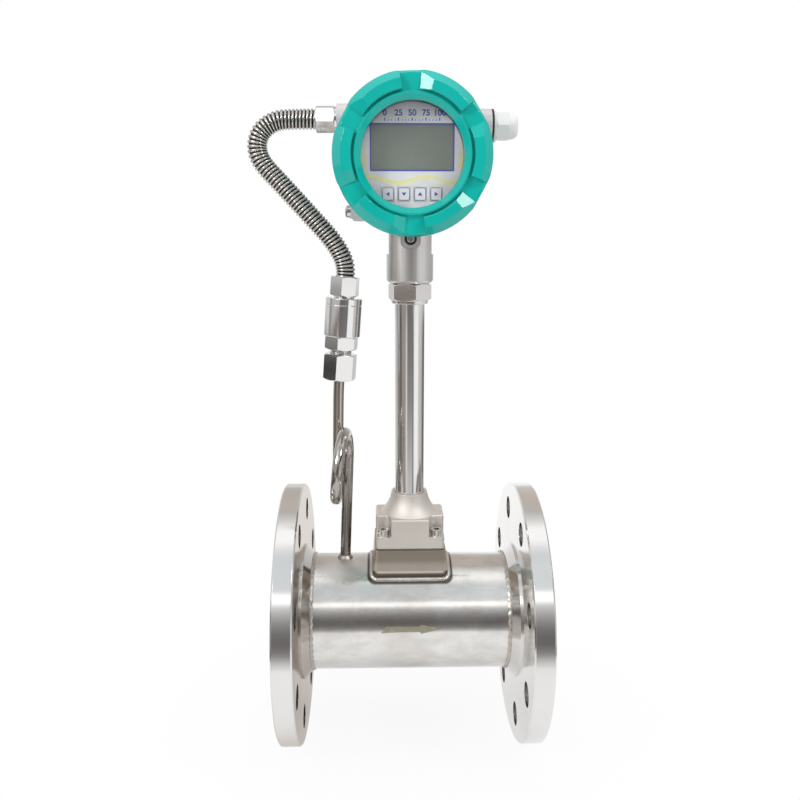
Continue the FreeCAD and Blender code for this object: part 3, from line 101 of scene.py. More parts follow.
def place_camera():
    """The camera solved from the photograph's flanges."""
    data = bpy.data.cameras.new("camera")
    data.lens = CAMERA_LENS
    data.sensor_width = CAMERA_SENSOR
    data.clip_start = 0.01
    data.clip_end = 50
    camera = bpy.data.objects.new("camera", data)
    bpy.context.scene.collection.objects.link(camera)
    level = math.cos(CAMERA_PITCH)
    way = Vector((math.sin(CAMERA_YAW) * level, math.cos(CAMERA_YAW) * level, math.sin(CAMERA_PITCH)))
    camera.location = CAMERA_PLACE
    camera.rotation_mode = "QUATERNION"
    camera.rotation_quaternion = way.to_track_quat("-Z", "Y")
    bpy.context.scene.camera = camera


# Node helpers

def link(tree, source, target):
    tree.links.new(source, target)


def add(tree, kind, **values):
    """A node with its inputs set by name, where a value may be a socket."""
    node = tree.nodes.new(kind)
    for key, value in values.items():
        socket = node.inputs[key.replace("_", " ")]
        if isinstance(value, bpy.types.NodeSocket):
            link(tree, value, socket)
        else:
            socket.default_value = value
    return node


def calc(tree, operation, a, b=0.0, c=0.0, clamp=False):
    """A math node's result."""
    node = tree.nodes.new("ShaderNodeMath")
    node.operation = operation
    node.use_clamp = clamp
    for socket, value in zip(node.inputs, (a, b, c)):
        if isinstance(value, bpy.types.NodeSocket):
            link(tree, value, socket)
        else:
            socket.default_value = value
    return node.outputs[0]


def times(tree, a, b):
    return calc(tree, "MULTIPLY", a, b)


def minus(tree, a, b):
    return calc(tree, "SUBTRACT", a, b)


def size_of(tree, value):
    """The value without its sign."""
    return calc(tree, "ABSOLUTE", value)


def rising(tree, value, start, slope):
    """0 up to start, then up by the slope to 1."""
    return calc(tree, "MULTIPLY", minus(tree, value, start), slope, clamp=True)


def falling(tree, value, end, slope):
    """1, then down by the slope to 0 at the end."""
    return calc(tree, "MULTIPLY", minus(tree, end, value), slope, clamp=True)


def mixed(tree, factor, a, b, blend="MIX"):
    """Two colours mixed by a factor."""
    node = tree.nodes.new("ShaderNodeMix")
    node.data_type = "RGBA"
    node.blend_type = blend
    for socket, value in ((node.inputs["Factor"], factor), (node.inputs[6], a), (node.inputs[7], b)):
        if isinstance(value, bpy.types.NodeSocket):
            link(tree, value, socket)
        elif isinstance(value, float):
            socket.default_value = value
        else:
            socket.default_value = (*value, 1.0)
    return node.outputs[2]


def ramp(tree, factor, stops):
    """A colour ramp's result; a stop is (position, grey or colour)."""
    node = tree.nodes.new("ShaderNodeValToRGB")
    elements = node.color_ramp.elements
    while len(elements) < len(stops):
        elements.new(0.5)
    for element, (position, value) in zip(elements, stops):
        element.position = position
        element.color = (value, value, value, 1) if isinstance(value, float) else (*value, 1)
    link(tree, factor, node.inputs["Fac"])
    return node.outputs["Color"]


def combine(tree, x, y, z):
    return add(tree, "ShaderNodeCombineXYZ", X=x, Y=y, Z=z).outputs[0]


def place(tree):
    """The point's coordinates in the part's frame: the vector, and x, y and z."""
    vector = tree.nodes.new("ShaderNodeTexCoord").outputs["Object"]
    parts = add(tree, "ShaderNodeSeparateXYZ", Vector=vector)
    return vector, parts.outputs[0], parts.outputs[1], parts.outputs[2]


def stretched(tree, vector, scale):
    return add(tree, "ShaderNodeMapping", Vector=vector, Scale=scale).outputs[0]


def noise(tree, vector, scale, detail=3.0, roughness=0.5):
    node = add(tree, "ShaderNodeTexNoise", Vector=vector, Scale=scale, Detail=detail, Roughness=roughness)
    return node.outputs["Fac"]


def radius_about(tree, a, b):
    return calc(tree, "SQRT", calc(tree, "ADD", times(tree, a, a), times(tree, b, b)))


def bump(tree, height, strength, distance, bevel=0.0):
    """A bump on top of softened edges."""
    node = add(tree, "ShaderNodeBump", Strength=strength, Distance=distance, Height=height)
    if bevel:
        edge = add(tree, "ShaderNodeBevel", Radius=bevel)
        edge.samples = 4
        link(tree, edge.outputs[0], node.inputs["Normal"])
    return node.outputs[0]


def shader_mix(tree, factor, a, b):
    """Two shaders mixed by a factor."""
    node = tree.nodes.new("ShaderNodeMixShader")
    for socket, source in zip(node.inputs, (factor, a, b)):
        link(tree, source, socket)
    return node.outputs[0]


def show(tree, source):
    """Sends a shader to the material's output."""
    output = next(node for node in tree.nodes if node.type == "OUTPUT_MATERIAL")
    link(tree, source, output.inputs["Surface"])


def material(name, colour, roughness, metallic=0.0, **sockets):
    """A new material with a Principled shader: the material, its tree and the shader."""
    made = bpy.data.materials.new(name)
    made.use_nodes = True
    tree = made.node_tree
    tree.nodes.clear()
    shader = add(tree, "ShaderNodeBsdfPrincipled", Roughness=roughness, Metallic=metallic, **sockets)
    shader.inputs["Base Color"].default_value = (*colour, 1)
    tree.nodes.new("ShaderNodeOutputMaterial")
    show(tree, shader.outputs[0])
    made.diffuse_color = (*colour, 1)
    return made, tree, shader


def dress(tree, shader, tone, rough, normal):
    """Links a shader's colour, roughness and normal."""
    link(tree, tone, shader.inputs["Base Color"])
    link(tree, rough, shader.inputs["Roughness"])
    link(tree, normal, shader.inputs["Normal"])


# Materials

# How fine the machining lines are: turned about the pipe, and along x, y and z for the others
TURNED_GRAIN = 2600
GRAINS = {
    "round": (1400, 60, 60),
    "upright": (1500, 1500, 12),
    "brushed": (620, 620, 22),
    "plain": (900, 900, 900),
}
# The near black of painted shade: the crease at the seat's foot and the shadow line on the pipe beyond its
# bead
PAINTED_SHADE = (0.07, 0.06, 0.05)

# The film's waves: level, height, pace, half the width, and strength
FILM_WAVES = ((-0.0148, 0.0020, 165.0, 0.0017, 0.85), (-0.0172, 0.0013, 240.0, 0.0008, 0.55))

# The display's cells, one to half a millimetre
LCD_CELLS = 12566.0


def grain_vector(tree, grain, vector, x, y, z):
    """Where the machining lines run."""
    if grain == "turned":
        out = times(tree, radius_about(tree, y, z), TURNED_GRAIN)
        return combine(tree, times(tree, x, TURNED_GRAIN), out, 0.0)
    return stretched(tree, vector, GRAINS[grain])


def steel(name, colour, roughness, grain, line=0.12, cloud=0.10, depth=0.00004, bevel=0.00035,
          stain=(0.42, 0.36, 0.30), stained=0.0, spread=0.10, tint=None, sealing=0.0, dull=None, wave=0.0,
          edge=None):
    """Stainless steel with machining lines, soft clouds, a little staining and softened edges.

    sealing is how much duller the flanges' raised faces are, dull gives the roughness that heat has added,
    wave is the height of the slow waves against the lines, and edge tints what it mirrors at a flat angle.
    """
    made, tree, shader = material(name, colour, roughness, 1.0)
    if edge:
        shader.inputs["Specular Tint"].default_value = (*edge, 1)
    vector, x, y, z = place(tree)
    lines = noise(tree, grain_vector(tree, grain, vector, x, y, z), 1.0, 2.0, 0.6)
    clouds = noise(tree, vector, 38.0, 4.0, 0.55)
    shade = calc(tree, "ADD", times(tree, lines, line), times(tree, clouds, cloud))
    shade = calc(tree, "ADD", shade, 1.0 - (line + cloud) / 2)
    grey = add(tree, "ShaderNodeCombineColor", Red=shade, Green=shade, Blue=shade).outputs[0]
    tone = mixed(tree, 1.0, colour, grey, "MULTIPLY")
    if stained:
        patches = noise(tree, vector, 14.0, 3.0, 0.5)
        tone = mixed(tree, ramp(tree, patches, [(0.50, 0.0), (0.72, stained)]), tone, stain)
    if tint:
        tone = tint(tree, tone, x, y, z)
    rough = calc(tree, "MULTIPLY_ADD", clouds, spread, roughness - spread / 2)
    rough = calc(tree, "MULTIPLY_ADD", lines, 0.08, minus(tree, rough, 0.04))
    if sealing:
        along = calc(tree, "GREATER_THAN", size_of(tree, minus(tree, x, STEM_X)), SEALING_ALONG)
        inside = calc(tree, "LESS_THAN", radius_about(tree, y, z), SEALING_R)
        rough = calc(tree, "MULTIPLY_ADD", times(tree, along, inside), sealing, rough)
    if dull:
        rough = calc(tree, "ADD", rough, dull(tree, x, y, z))
    height = calc(tree, "MULTIPLY_ADD", clouds, wave, lines) if wave else lines
    dress(tree, shader, tone, rough, bump(tree, height, 0.25, depth, bevel))
    return made


def seat_tint_and_crease_shade(tree, tone, x, y, z):
    """The seat, browner and darker towards its top under the gasket, with painted shade in the crease along
    its weld.
    """
    tone = mixed(tree, rising(tree, z, 0.0480, 220.0), tone, (0.46, 0.40, 0.32))
    # Painted shade in the crease at the seat's foot: near black up to 2.9 mm above the pipe, gone by 4 mm
    off_weld = minus(tree, minus(tree, radius_about(tree, y, z), PIPE_R), 0.0029)
    crease_shade = calc(tree, "SUBTRACT", 1.0, times(tree, off_weld, 900.0), clamp=True)
    return mixed(tree, times(tree, crease_shade, 0.9), tone, PAINTED_SHADE)


def pipe_patches_and_shadow_line(tree, tone, x, y, z):
    """Brown and bluish patches, and a painted shadow line on the pipe just outside the bead round the seat.
    """
    # Painted shadow: a dark line on the top of the pipe along the outside of the seat's bead
    u = calc(tree, "MAXIMUM", minus(tree, size_of(tree, minus(tree, x, STEM_X)), 0.0265), 0.0)
    v = calc(tree, "MAXIMUM", minus(tree, size_of(tree, y), 0.0225), 0.0)
    away = minus(tree, radius_about(tree, u, v), 0.0047)
    line = calc(tree, "SUBTRACT", 1.6, times(tree, away, 850.0), clamp=True)
    line = times(tree, line, calc(tree, "MULTIPLY", z, 1000.0, clamp=True))
    vector = combine(tree, x, y, z)
    warm = noise(tree, stretched(tree, vector, (34, 70, 70)), 1.0, 4.0, 0.62)
    cool = noise(tree, stretched(tree, vector, (52, 90, 90)), 1.0, 3.0, 0.6)
    tone = mixed(tree, ramp(tree, warm, [(0.42, 0.0), (0.62, 0.34)]), tone, (0.50, 0.44, 0.39))
    tone = mixed(tree, ramp(tree, cool, [(0.50, 0.0), (0.66, 0.30)]), tone, (0.60, 0.68, 0.68))
    return mixed(tree, times(tree, line, 0.93), tone, PAINTED_SHADE)


def weld_dull(tree, x, y, z):
    """The roughness that the siphon's weld has left on the pipe round it."""
    low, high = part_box("siphon_weld")
    u, v, w = [minus(tree, value, (a + b) / 2) for value, a, b in zip((x, y, z), low, high)]
    away = radius_about(tree, radius_about(tree, u, v), w)
    return times(tree, falling(tree, away, 0.034, 80.0), 0.26)


def face_tint(tree, tone, x, y, z):
    """Mottled brown patches, low on the inlet flange's inner face."""
    inner = rising(tree, x, 0.012, 400.0)
    off_rim = falling(tree, radius_about(tree, y, z), 0.0990, 1500.0)
    low = falling(tree, z, 0.048, 28.0)
    patch = ramp(tree, noise(tree, combine(tree, x, y, z), 22.0, 4.0, 0.6), [(0.30, 0.62), (0.70, 1.0)])
    share = times(tree, times(tree, inner, off_rim), times(tree, low, patch))
    return mixed(tree, share, tone, (0.52, 0.48, 0.44))


def milled_spot_painted_light(tree, tone, x, y, z):
    """The milled face round the lock screw, painted lighter and pinker: a painted highlight that also cancels
    the teal cover's reflection in it.
    """
    inside = calc(tree, "LESS_THAN", radius_about(tree, minus(tree, x, STEM_X), y), 0.0168)
    front = times(tree, calc(tree, "LESS_THAN", y, -0.0150), calc(tree, "GREATER_THAN", z, 0.270))
    return mixed(tree, times(tree, inside, front), tone, (1.0, 0.86, 0.83))


def siphon_tint(tree, tone, x, y, z):
    """The siphon, darker and browner towards its lower end at its weld."""
    return mixed(tree, times(tree, falling(tree, z, 0.112, 30.0), 0.75), tone, (0.15, 0.135, 0.125))


def cast(name, colour, roughness, metallic, grain_size, depth, speckle=0.0, bevel=0.0005, **sockets):
    """A blasted or painted casting: fine grain, soft clouds and, where asked, dark specks."""
    made, tree, shader = material(name, colour, roughness, metallic, **sockets)
    vector = place(tree)[0]
    fine = noise(tree, vector, grain_size, 4.0, 0.65)
    clouds = ramp(tree, noise(tree, vector, 30.0, 3.0, 0.5), [(0.3, 0.0), (0.75, 1.0)])
    tone = mixed(tree, clouds, tuple(0.93 * c for c in colour), tuple(min(1, 1.04 * c) for c in colour))
    if speckle:
        specks = ramp(tree, noise(tree, vector, grain_size * 0.55, 2.0, 0.7), [(0.60, 0.0), (0.70, speckle)])
        tone = mixed(tree, specks, tone, (0.35, 0.32, 0.32))
    rough = calc(tree, "MULTIPLY_ADD", fine, 0.14, roughness - 0.07)
    dress(tree, shader, tone, rough, bump(tree, fine, 0.35, depth, bevel))
    return made


def plastic(name, colour, roughness, grain_size=1800.0, depth=0.00002, bevel=0.0003, **sockets):
    """A moulded surface with a fine texture."""
    return cast(name, colour, roughness, 0.0, grain_size, depth, bevel=bevel, **sockets)


def powder_coat():
    """Teal powder coat: a slight orange peel under a clear gloss, with paler dust."""
    made, tree, shader = material("teal_coat", (0.0, 0.50, 0.44), 0.5, Coat_Weight=0.85, Coat_Roughness=0.05,
                                  Specular_IOR_Level=0.05)
    vector = place(tree)[0]
    peel = noise(tree, vector, 900.0, 2.0, 0.5)
    clouds = ramp(tree, noise(tree, vector, 45.0, 4.0, 0.6), [(0.3, 0.0), (0.7, 1.0)])
    tone = mixed(tree, clouds, (0.0, 0.475, 0.415), (0.0, 0.525, 0.46))
    dust = ramp(tree, noise(tree, vector, 2600.0, 2.0, 0.7), [(0.66, 0.0), (0.74, 0.25)])
    tone = mixed(tree, dust, tone, (0.02, 0.58, 0.52))
    link(tree, tone, shader.inputs["Base Color"])
    soft = bump(tree, peel, 0.12, 0.00004, 0.0007)
    link(tree, soft, shader.inputs["Normal"])
    link(tree, soft, shader.inputs["Coat Normal"])
    return made


def window_glass():
    """Clear glass that lets the lamps through to the display."""
    made, tree, shader = material("window_glass", (0.97, 0.99, 0.985), 0.02,
                                  Transmission_Weight=1.0, IOR=1.45)
    through = add(tree, "ShaderNodeBsdfTransparent", Color=(0.96, 0.98, 0.97, 1))
    shadow = tree.nodes.new("ShaderNodeLightPath").outputs["Is Shadow Ray"]
    show(tree, shader_mix(tree, shadow, shader.outputs[0], through.outputs[0]))
    return made


def plate_film():
    """The face plate's printed film: pale lilac grey with soft yellow waves under the display."""
    made, tree, shader = material("plate_film", (0.62, 0.60, 0.66), 0.38)
    vector, x, _, z = place(tree)
    u = minus(tree, x, STEM_X)
    v = minus(tree, z, HEAD_Z)
    soft = ramp(tree, noise(tree, vector, 70.0, 3.0, 0.6), [(0.3, 0.0), (0.7, 1.0)])
    tone = mixed(tree, soft, (0.64, 0.63, 0.68), (0.72, 0.71, 0.76))
    for level, height, pace, width, strength in FILM_WAVES:
        wave = times(tree, calc(tree, "SINE", times(tree, u, pace)), height)
        away = size_of(tree, minus(tree, minus(tree, v, level), wave))
        band = calc(tree, "SUBTRACT", 1.0, calc(tree, "DIVIDE", away, width), clamp=True)
        tone = mixed(tree, times(tree, band, strength), tone, (0.80, 0.74, 0.12))
    edge = rising(tree, size_of(tree, u), 0.0292, 260.0)
    off_middle = times(tree, size_of(tree, calc(tree, "ADD", v, 0.004)), 70.0)
    low = calc(tree, "SUBTRACT", 1.0, off_middle, clamp=True)
    tone = mixed(tree, times(tree, times(tree, edge, low), 0.75), tone, (0.78, 0.72, 0.16))
    fine = noise(tree, vector, 3000.0, 2.0, 0.5)
    rough = calc(tree, "MULTIPLY_ADD", fine, 0.1, 0.33)
    dress(tree, shader, tone, rough, bump(tree, fine, 0.1, 0.00001, 0.0002))
    return made


def lcd_glass():
    """The display panel: grey green with a faint cell grid, and painted shade along its rim under the frame.
    """
    made, tree, shader = material("lcd_glass", (0.15, 0.17, 0.14), 0.22, Coat_Weight=0.2, Coat_Roughness=0.06)
    vector, x, _, z = place(tree)
    # Painted shade: darker towards the panel's edges, under its frame
    across = times(tree, minus(tree, size_of(tree, minus(tree, x, STEM_X)), 0.0262), 700.0)
    upright = times(tree, minus(tree, size_of(tree, minus(tree, z, HEAD_Z + LCD_UP * MM)), 0.0130), 700.0)
    rim = calc(tree, "MAXIMUM", across, upright, clamp=True)
    tone = mixed(tree, noise(tree, vector, 25.0, 2.0, 0.5), (0.130, 0.148, 0.128), (0.156, 0.178, 0.154))
    tone = mixed(tree, times(tree, rim, 0.5), tone, (0.09, 0.10, 0.10))
    columns = calc(tree, "SINE", times(tree, x, LCD_CELLS))
    rows = calc(tree, "SINE", times(tree, z, LCD_CELLS))
    cells = calc(tree, "MULTIPLY_ADD", calc(tree, "ADD", columns, rows), 0.006, 0.01)
    tone = mixed(tree, cells, tone, (0.10, 0.11, 0.10))
    link(tree, tone, shader.inputs["Base Color"])
    return made


def etched():
    """The etched flow arrow: olive brown heat tint with uneven edges."""
    made, tree, shader = material("etched_mark", (0.32, 0.29, 0.20), 0.45, 0.85)
    burn = noise(tree, place(tree)[0], 260.0, 5.0, 0.65)
    stops = [(0.25, (0.50, 0.46, 0.38)), (0.5, (0.42, 0.38, 0.28)), (0.8, (0.56, 0.52, 0.48))]
    tone = ramp(tree, burn, stops)
    rough = calc(tree, "MULTIPLY_ADD", burn, 0.25, 0.32)
    dress(tree, shader, tone, rough, bump(tree, burn, 0.3, 0.00003))
    return made


def weld_metal(name, *tones):
    """A weld bead: bright ripples with straw and brown heat tint."""
    made, tree, shader = material(name, tones[0], 0.26, 1.0)
    vector = place(tree)[0]
    tint = noise(tree, vector, 90.0, 4.0, 0.6)
    tone = ramp(tree, tint, list(zip((0.3, 0.55, 0.72, 0.85), tones)))
    ripple = noise(tree, vector, 900.0, 3.0, 0.6)
    rough = calc(tree, "MULTIPLY_ADD", ripple, 0.2, 0.26)
    dress(tree, shader, tone, rough, bump(tree, ripple, 0.5, 0.00012, 0.0004))
    return made


def circuit(name, colour, accent):
    """A populated board seen in a gap: solder mask with tracks."""
    made, tree, shader = material(name, colour, 0.35, Coat_Weight=0.3)
    cells = add(tree, "ShaderNodeTexVoronoi", Vector=place(tree)[0], Scale=260.0)
    cells.distance = "MANHATTAN"
    distance = cells.outputs["Distance"]
    tone = mixed(tree, ramp(tree, distance, [(0.42, 0.0), (0.5, 1.0)]), colour, accent)
    link(tree, tone, shader.inputs["Base Color"])
    link(tree, bump(tree, distance, 0.2, 0.00005), shader.inputs["Normal"])
    return made


def make_materials():
    return {
        "pipe": steel("pipe_steel", (0.80, 0.785, 0.765), 0.14, "round", 0.10, 0.24, 0.00001, stained=0.30,
                      tint=pipe_patches_and_shadow_line, dull=weld_dull, wave=60.0),
        "flange": steel("flange_steel", (0.80, 0.79, 0.775), 0.13, "turned", 0.06, 0.07, 0.00001,
                        stained=0.10, spread=0.08, sealing=0.2),
        "inlet": steel("inlet_steel", (0.80, 0.79, 0.775), 0.13, "turned", 0.06, 0.07, 0.00001,
                       stained=0.10, spread=0.08, tint=face_tint, sealing=0.2, edge=(0.74, 0.70, 0.665)),
        "bar": steel("bar_steel", (0.70, 0.69, 0.67), 0.26, "plain", 0.06),
        "seat": steel("seat_steel", (0.68, 0.61, 0.535), 0.30, "plain", 0.10, 0.14, 0.00005, bevel=0.0006,
                      stained=0.15, tint=seat_tint_and_crease_shade),
        "tube": steel("tube_steel", (0.78, 0.77, 0.755), 0.13, "upright", 0.05, 0.06, 0.00001, stained=0.12),
        "nut": steel("nut_steel", (0.76, 0.75, 0.74), 0.09, "plain", 0.05, 0.08, 0.00001, spread=0.05),
        "hexagon": steel("hexagon_steel", (0.74, 0.725, 0.715), 0.07, "plain", 0.05, 0.08, 0.00001,
                         spread=0.04),
        "adapter": steel("adapter_steel", (0.70, 0.68, 0.665), 0.34, "brushed", 0.50, 0.16, 0.00005,
                         stained=0.20, tint=milled_spot_painted_light),
        "siphon": steel("siphon_steel", (0.44, 0.41, 0.38), 0.15, "plain", 0.05, 0.16, 0.00002, stained=0.3,
                        tint=siphon_tint),
        "screw": steel("screw_steel", (0.68, 0.675, 0.66), 0.15, "plain", 0.08, 0.08, 0.00002, bevel=0.00015),
        "cast": cast("cast_steel", (0.81, 0.76, 0.71), 0.56, 1.0, 1500.0, 0.00005),
        "ridge": steel("hose_ridge", (0.60, 0.575, 0.545), 0.22, "plain", 0.08, 0.14, 0.00002, bevel=0.0),
        "groove": plastic("hose_groove", (0.012, 0.011, 0.010), 0.6, bevel=0.0),
        "housing": cast("housing_paint", (0.68, 0.665, 0.665), 0.42, 0.25, 1100.0, 0.00008, speckle=0.35),
        "teal": powder_coat(),
        "glass": window_glass(),
        "film": plate_film(),
        "lcd": lcd_glass(),
        "nylon": plastic("white_nylon", (0.88, 0.885, 0.88), 0.42, 900.0, 0.00003, Subsurface_Weight=0.15,
                         Subsurface_Radius=(0.002, 0.002, 0.002)),
        "rubber": plastic("black_rubber", (0.016, 0.016, 0.017), 0.62),
        "gasket": plastic("grey_gasket", (0.20, 0.195, 0.19), 0.7),
        "anodised": steel("dark_anodised", (0.12, 0.125, 0.13), 0.35, "plain", 0.08, 0.08),
        "keycap": plastic("key_cap", (0.74, 0.73, 0.77), 0.36, 2500.0, 0.00001),
        "silicone": plastic("silicone_pad", (0.45, 0.46, 0.48), 0.5),
        "blue": plastic("print_blue", (0.035, 0.05, 0.36), 0.35, 2500.0, 0.00001, 0.0),
        "outline": plastic("print_outline", (0.11, 0.12, 0.22), 0.35, 2500.0, 0.00001, 0.0),
        "green": circuit("board_green", (0.02, 0.16, 0.06), (0.10, 0.30, 0.12)),
        "potting": plastic("potting_black", (0.03, 0.03, 0.032), 0.45),
        "terminal": plastic("terminal_green", (0.05, 0.28, 0.11), 0.4),
        "brass": steel("brass", (0.76, 0.58, 0.26), 0.22, "plain", 0.06,
                       stain=(0.4, 0.25, 0.1), stained=0.15),
        "etched": etched(),
        "weld": weld_metal("weld_metal", (0.58, 0.55, 0.52), (0.48, 0.44, 0.40), (0.36, 0.32, 0.28),
                           (0.32, 0.31, 0.33)),
        "bead": weld_metal("bead_metal", (0.68, 0.65, 0.61), (0.60, 0.56, 0.52), (0.46, 0.42, 0.37),
                           (0.40, 0.38, 0.36)),
    }


NODES_BY_LOOK = {
    "pipe": ["meter_tube"],
    "inlet": ["inlet_flange"],
    "flange": ["outlet_flange"],
    "bar": ["shedder_bar", "vortex_probe"],
    "seat": ["sensor_seat"],
    "weld": ["seat_weld", "siphon_weld"],
    "gasket": ["seat_gasket"],
    "anodised": ["probe_seal", "window_ring"],
    "cast": ["stem_base"],
    "screw": ["stem_base_screws", "lock_screw", "siphon_ferrule", "earth_screw", "earth_washer",
              "display_screws", "terminal_board_screws"],
    "tube": ["stem_tube"],
    "hexagon": ["stem_hex"],
    "adapter": ["neck_adapter"],
    "siphon": ["siphon_tube"],
    "nut": ["siphon_union_nut", "pressure_port", "sensor_barrel", "hose_bottom_nut", "hose_top_nut"],
    "housing": ["transmitter_housing"],
    "rubber": ["lock_screw_seal", "gland_washer", "gland_seal", "window_gasket", "front_o_ring",
               "rear_o_ring"],
    "nylon": ["gland_body", "gland_nut", "display_spacers"],
    "keycap": ["face_plate", "key_left", "key_down", "key_up", "key_right"],
    "film": ["face_film"],
    "lcd": ["lcd_module"],
    "silicone": ["key_pad"],
    "green": ["display_board", "terminal_board"],
    "potting": ["electronics_module"],
    "terminal": ["terminal_block"],
    "brass": ["union_washer", "board_standoffs", "terminal_screws"],
    "teal": ["front_cover", "rear_cover"],
    "glass": ["cover_window"],
}


def dress_nodes(looks):
    """Gives each CAD node its material."""
    for look, names in NODES_BY_LOOK.items():
        for name in names:
            slots = nodes[name].material_slots
            if not slots:
                nodes[name].data.materials.append(looks[look])
            for slot in slots:
                slot.material = looks[look]


# Mesh helpers

def piece(name, points, faces, look, body, smooth):
    """A mesh piece that rides on a body.

    look is one material, or a list of them; a face is then (its corners, its material's place in the list).
    smooth is the angle in degrees below which an edge is smooth, or 0.
    """
    several = isinstance(look, list)
    mesh = bpy.data.meshes.new(name)
    mesh.from_pydata([tuple(p) for p in points], [], [corners for corners, _ in faces] if several else faces)
    for each in look if several else [look]:
        mesh.materials.append(each)
    if several:
        for polygon, (_, index) in zip(mesh.polygons, faces):
            polygon.material_index = index
    made = bpy.data.objects.new(name, mesh)
    bpy.context.scene.collection.objects.link(made)
    cleaned = bmesh.new()
    cleaned.from_mesh(mesh)
    bmesh.ops.recalc_face_normals(cleaned, faces=cleaned.faces)
    cleaned.to_mesh(mesh)
    cleaned.free()
    if smooth:
        for polygon in mesh.polygons:
            polygon.use_smooth = True
        mesh.set_sharp_from_angle(angle=math.radians(smooth))
    if body:
        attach(made, body)
    return made


def swept(rings, closed=False):
    """Points and faces between rings of equally many points, with flat ends where the path isn't closed."""
    points = [p for ring in rings for p in ring]
    n = len(rings[0])
    count = len(rings)
    faces = []
    for i in range(count if closed else count - 1):
        for j in range(n):
            a = i * n + j
            b = i * n + (j + 1) % n
            c = ((i + 1) % count) * n + (j + 1) % n
            d = ((i + 1) % count) * n + j
            faces.append((a, b, c, d))
    if not closed:
        faces.append(tuple(range(n)))
        faces.append(tuple(range((count - 1) * n, count * n)))
    return points, faces


def corner_points(half_x, half_y, corner, steps):
    """A rectangle's outline with round corners."""
    found = []
    for sx, sy, start in ((1, 1, 0), (-1, 1, 90), (-1, -1, 180), (1, -1, 270)):
        for k in range(steps + 1):
            turn = math.radians(start + 90 * k / steps)
            x = sx * (half_x - corner) + corner * math.cos(turn)
            y = sy * (half_y - corner) + corner * math.sin(turn)
            found.append((x, y))
    return found


def smooth_path(name, route):
    """Points along the NURBS curve that has the route as its control points."""
    data = bpy.data.curves.new(name, "CURVE")
    data.dimensions = "3D"
    spline = data.splines.new("NURBS")
    spline.points.add(len(route) - 1)
    for point, spot in zip(spline.points, route):
        point.co = (*spot, 1)
    spline.order_u = 3
    spline.use_endpoint_u = True
    spline.resolution_u = 40
    holder = bpy.data.objects.new(name, data)
    bpy.context.scene.collection.objects.link(holder)
    mesh = bpy.data.meshes.new_from_object(holder)
    points = [v.co.copy() for v in mesh.vertices]
    bpy.data.objects.remove(holder)
    bpy.data.meshes.remove(mesh)
    return points


def even_points(points, step):
    """The path's points at about equal steps."""
    lengths = [0.0]
    for a, b in zip(points, points[1:]):
        lengths.append(lengths[-1] + (b - a).length)
    count = max(2, round(lengths[-1] / step))
    found = []
    k = 0
    for i in range(count + 1):
        target = lengths[-1] * i / count
        while k < len(lengths) - 2 and lengths[k + 1] < target:
            k += 1
        span = lengths[k + 1] - lengths[k] or 1e-9
        found.append(points[k].lerp(points[k + 1], (target - lengths[k]) / span))
    return found


def frames_along(points):
    """A steady pair of sideways directions at each point of a path."""
    ways = []
    for i in range(len(points)):
        a = points[max(0, i - 1)]
        b = points[min(len(points) - 1, i + 1)]
        ways.append((b - a).normalized())
    side = ways[0].orthogonal().normalized()
    found = []
    for way in ways:
        side = (side - way * side.dot(way)).normalized()
        found.append((side.copy(), way.cross(side)))
    return found


# Pieces

# The hose's strip: the pitch of its turns, the depth of its seam, its section over one turn, and where the
# dark seam starts and ends in steps of that section
HOSE_PITCH = 0.0026
HOSE_SEAM = 0.0011
HOSE_PROFILE = [0.0, 0.75, 1.0, 1.0, 0.97, 0.75, 0.0, -0.35]
HOSE_DARK = (5.6, 0.35)
HOSE_SIDES = 28

# The flow arrow's outline in millimetres: along the pipe from the stem, and up round the pipe
ARROW = [
    (-22.0, 2.6), (-12.5, 3.9), (-12.5, 3.2), (6.5, 3.4), (8.0, 2.0), (23.7, 5.6), (8.0, 8.8), (6.5, 7.4),
    (-18.5, 7.8), (-15.5, 5.6),
]

# The butt welds: each one's place along the pipe and the way from its flange to the pipe's middle, and the
# section of both along that way and out from the pipe's axis
BUTT_WELDS = (("inlet_butt_weld", 0.0248, 1), ("outlet_butt_weld", 0.1752, -1))
BUTT_SECTION = [
    (-0.0006, 0.0446), (-0.0003, 0.0455), (0.0006, 0.0456), (0.0016, 0.0451), (0.0024, 0.0446),
    (0.0023, 0.0441), (0.0008, 0.0440),
]

# The bead round the seat: its path's half sizes seen from above, corner and steps, and the bead's own radius,
# sides, and rings to a ripple
BEAD_HALF = (0.0290, 0.0252)
BEAD_CORNER = 0.0045
BEAD_STEP = 0.0003
BEAD_R = 0.0019
BEAD_SIDES = 12
BEAD_RIPPLE = 5

# The port's thread: its start above the stack's foot, its pitch and turns, its root's radius and its depth
THREAD_START = 0.0206
THREAD_PITCH = 0.0009
THREAD_TURNS = 3.3
THREAD_ROOT_R = 0.0076
THREAD_DEPTH = 0.0005


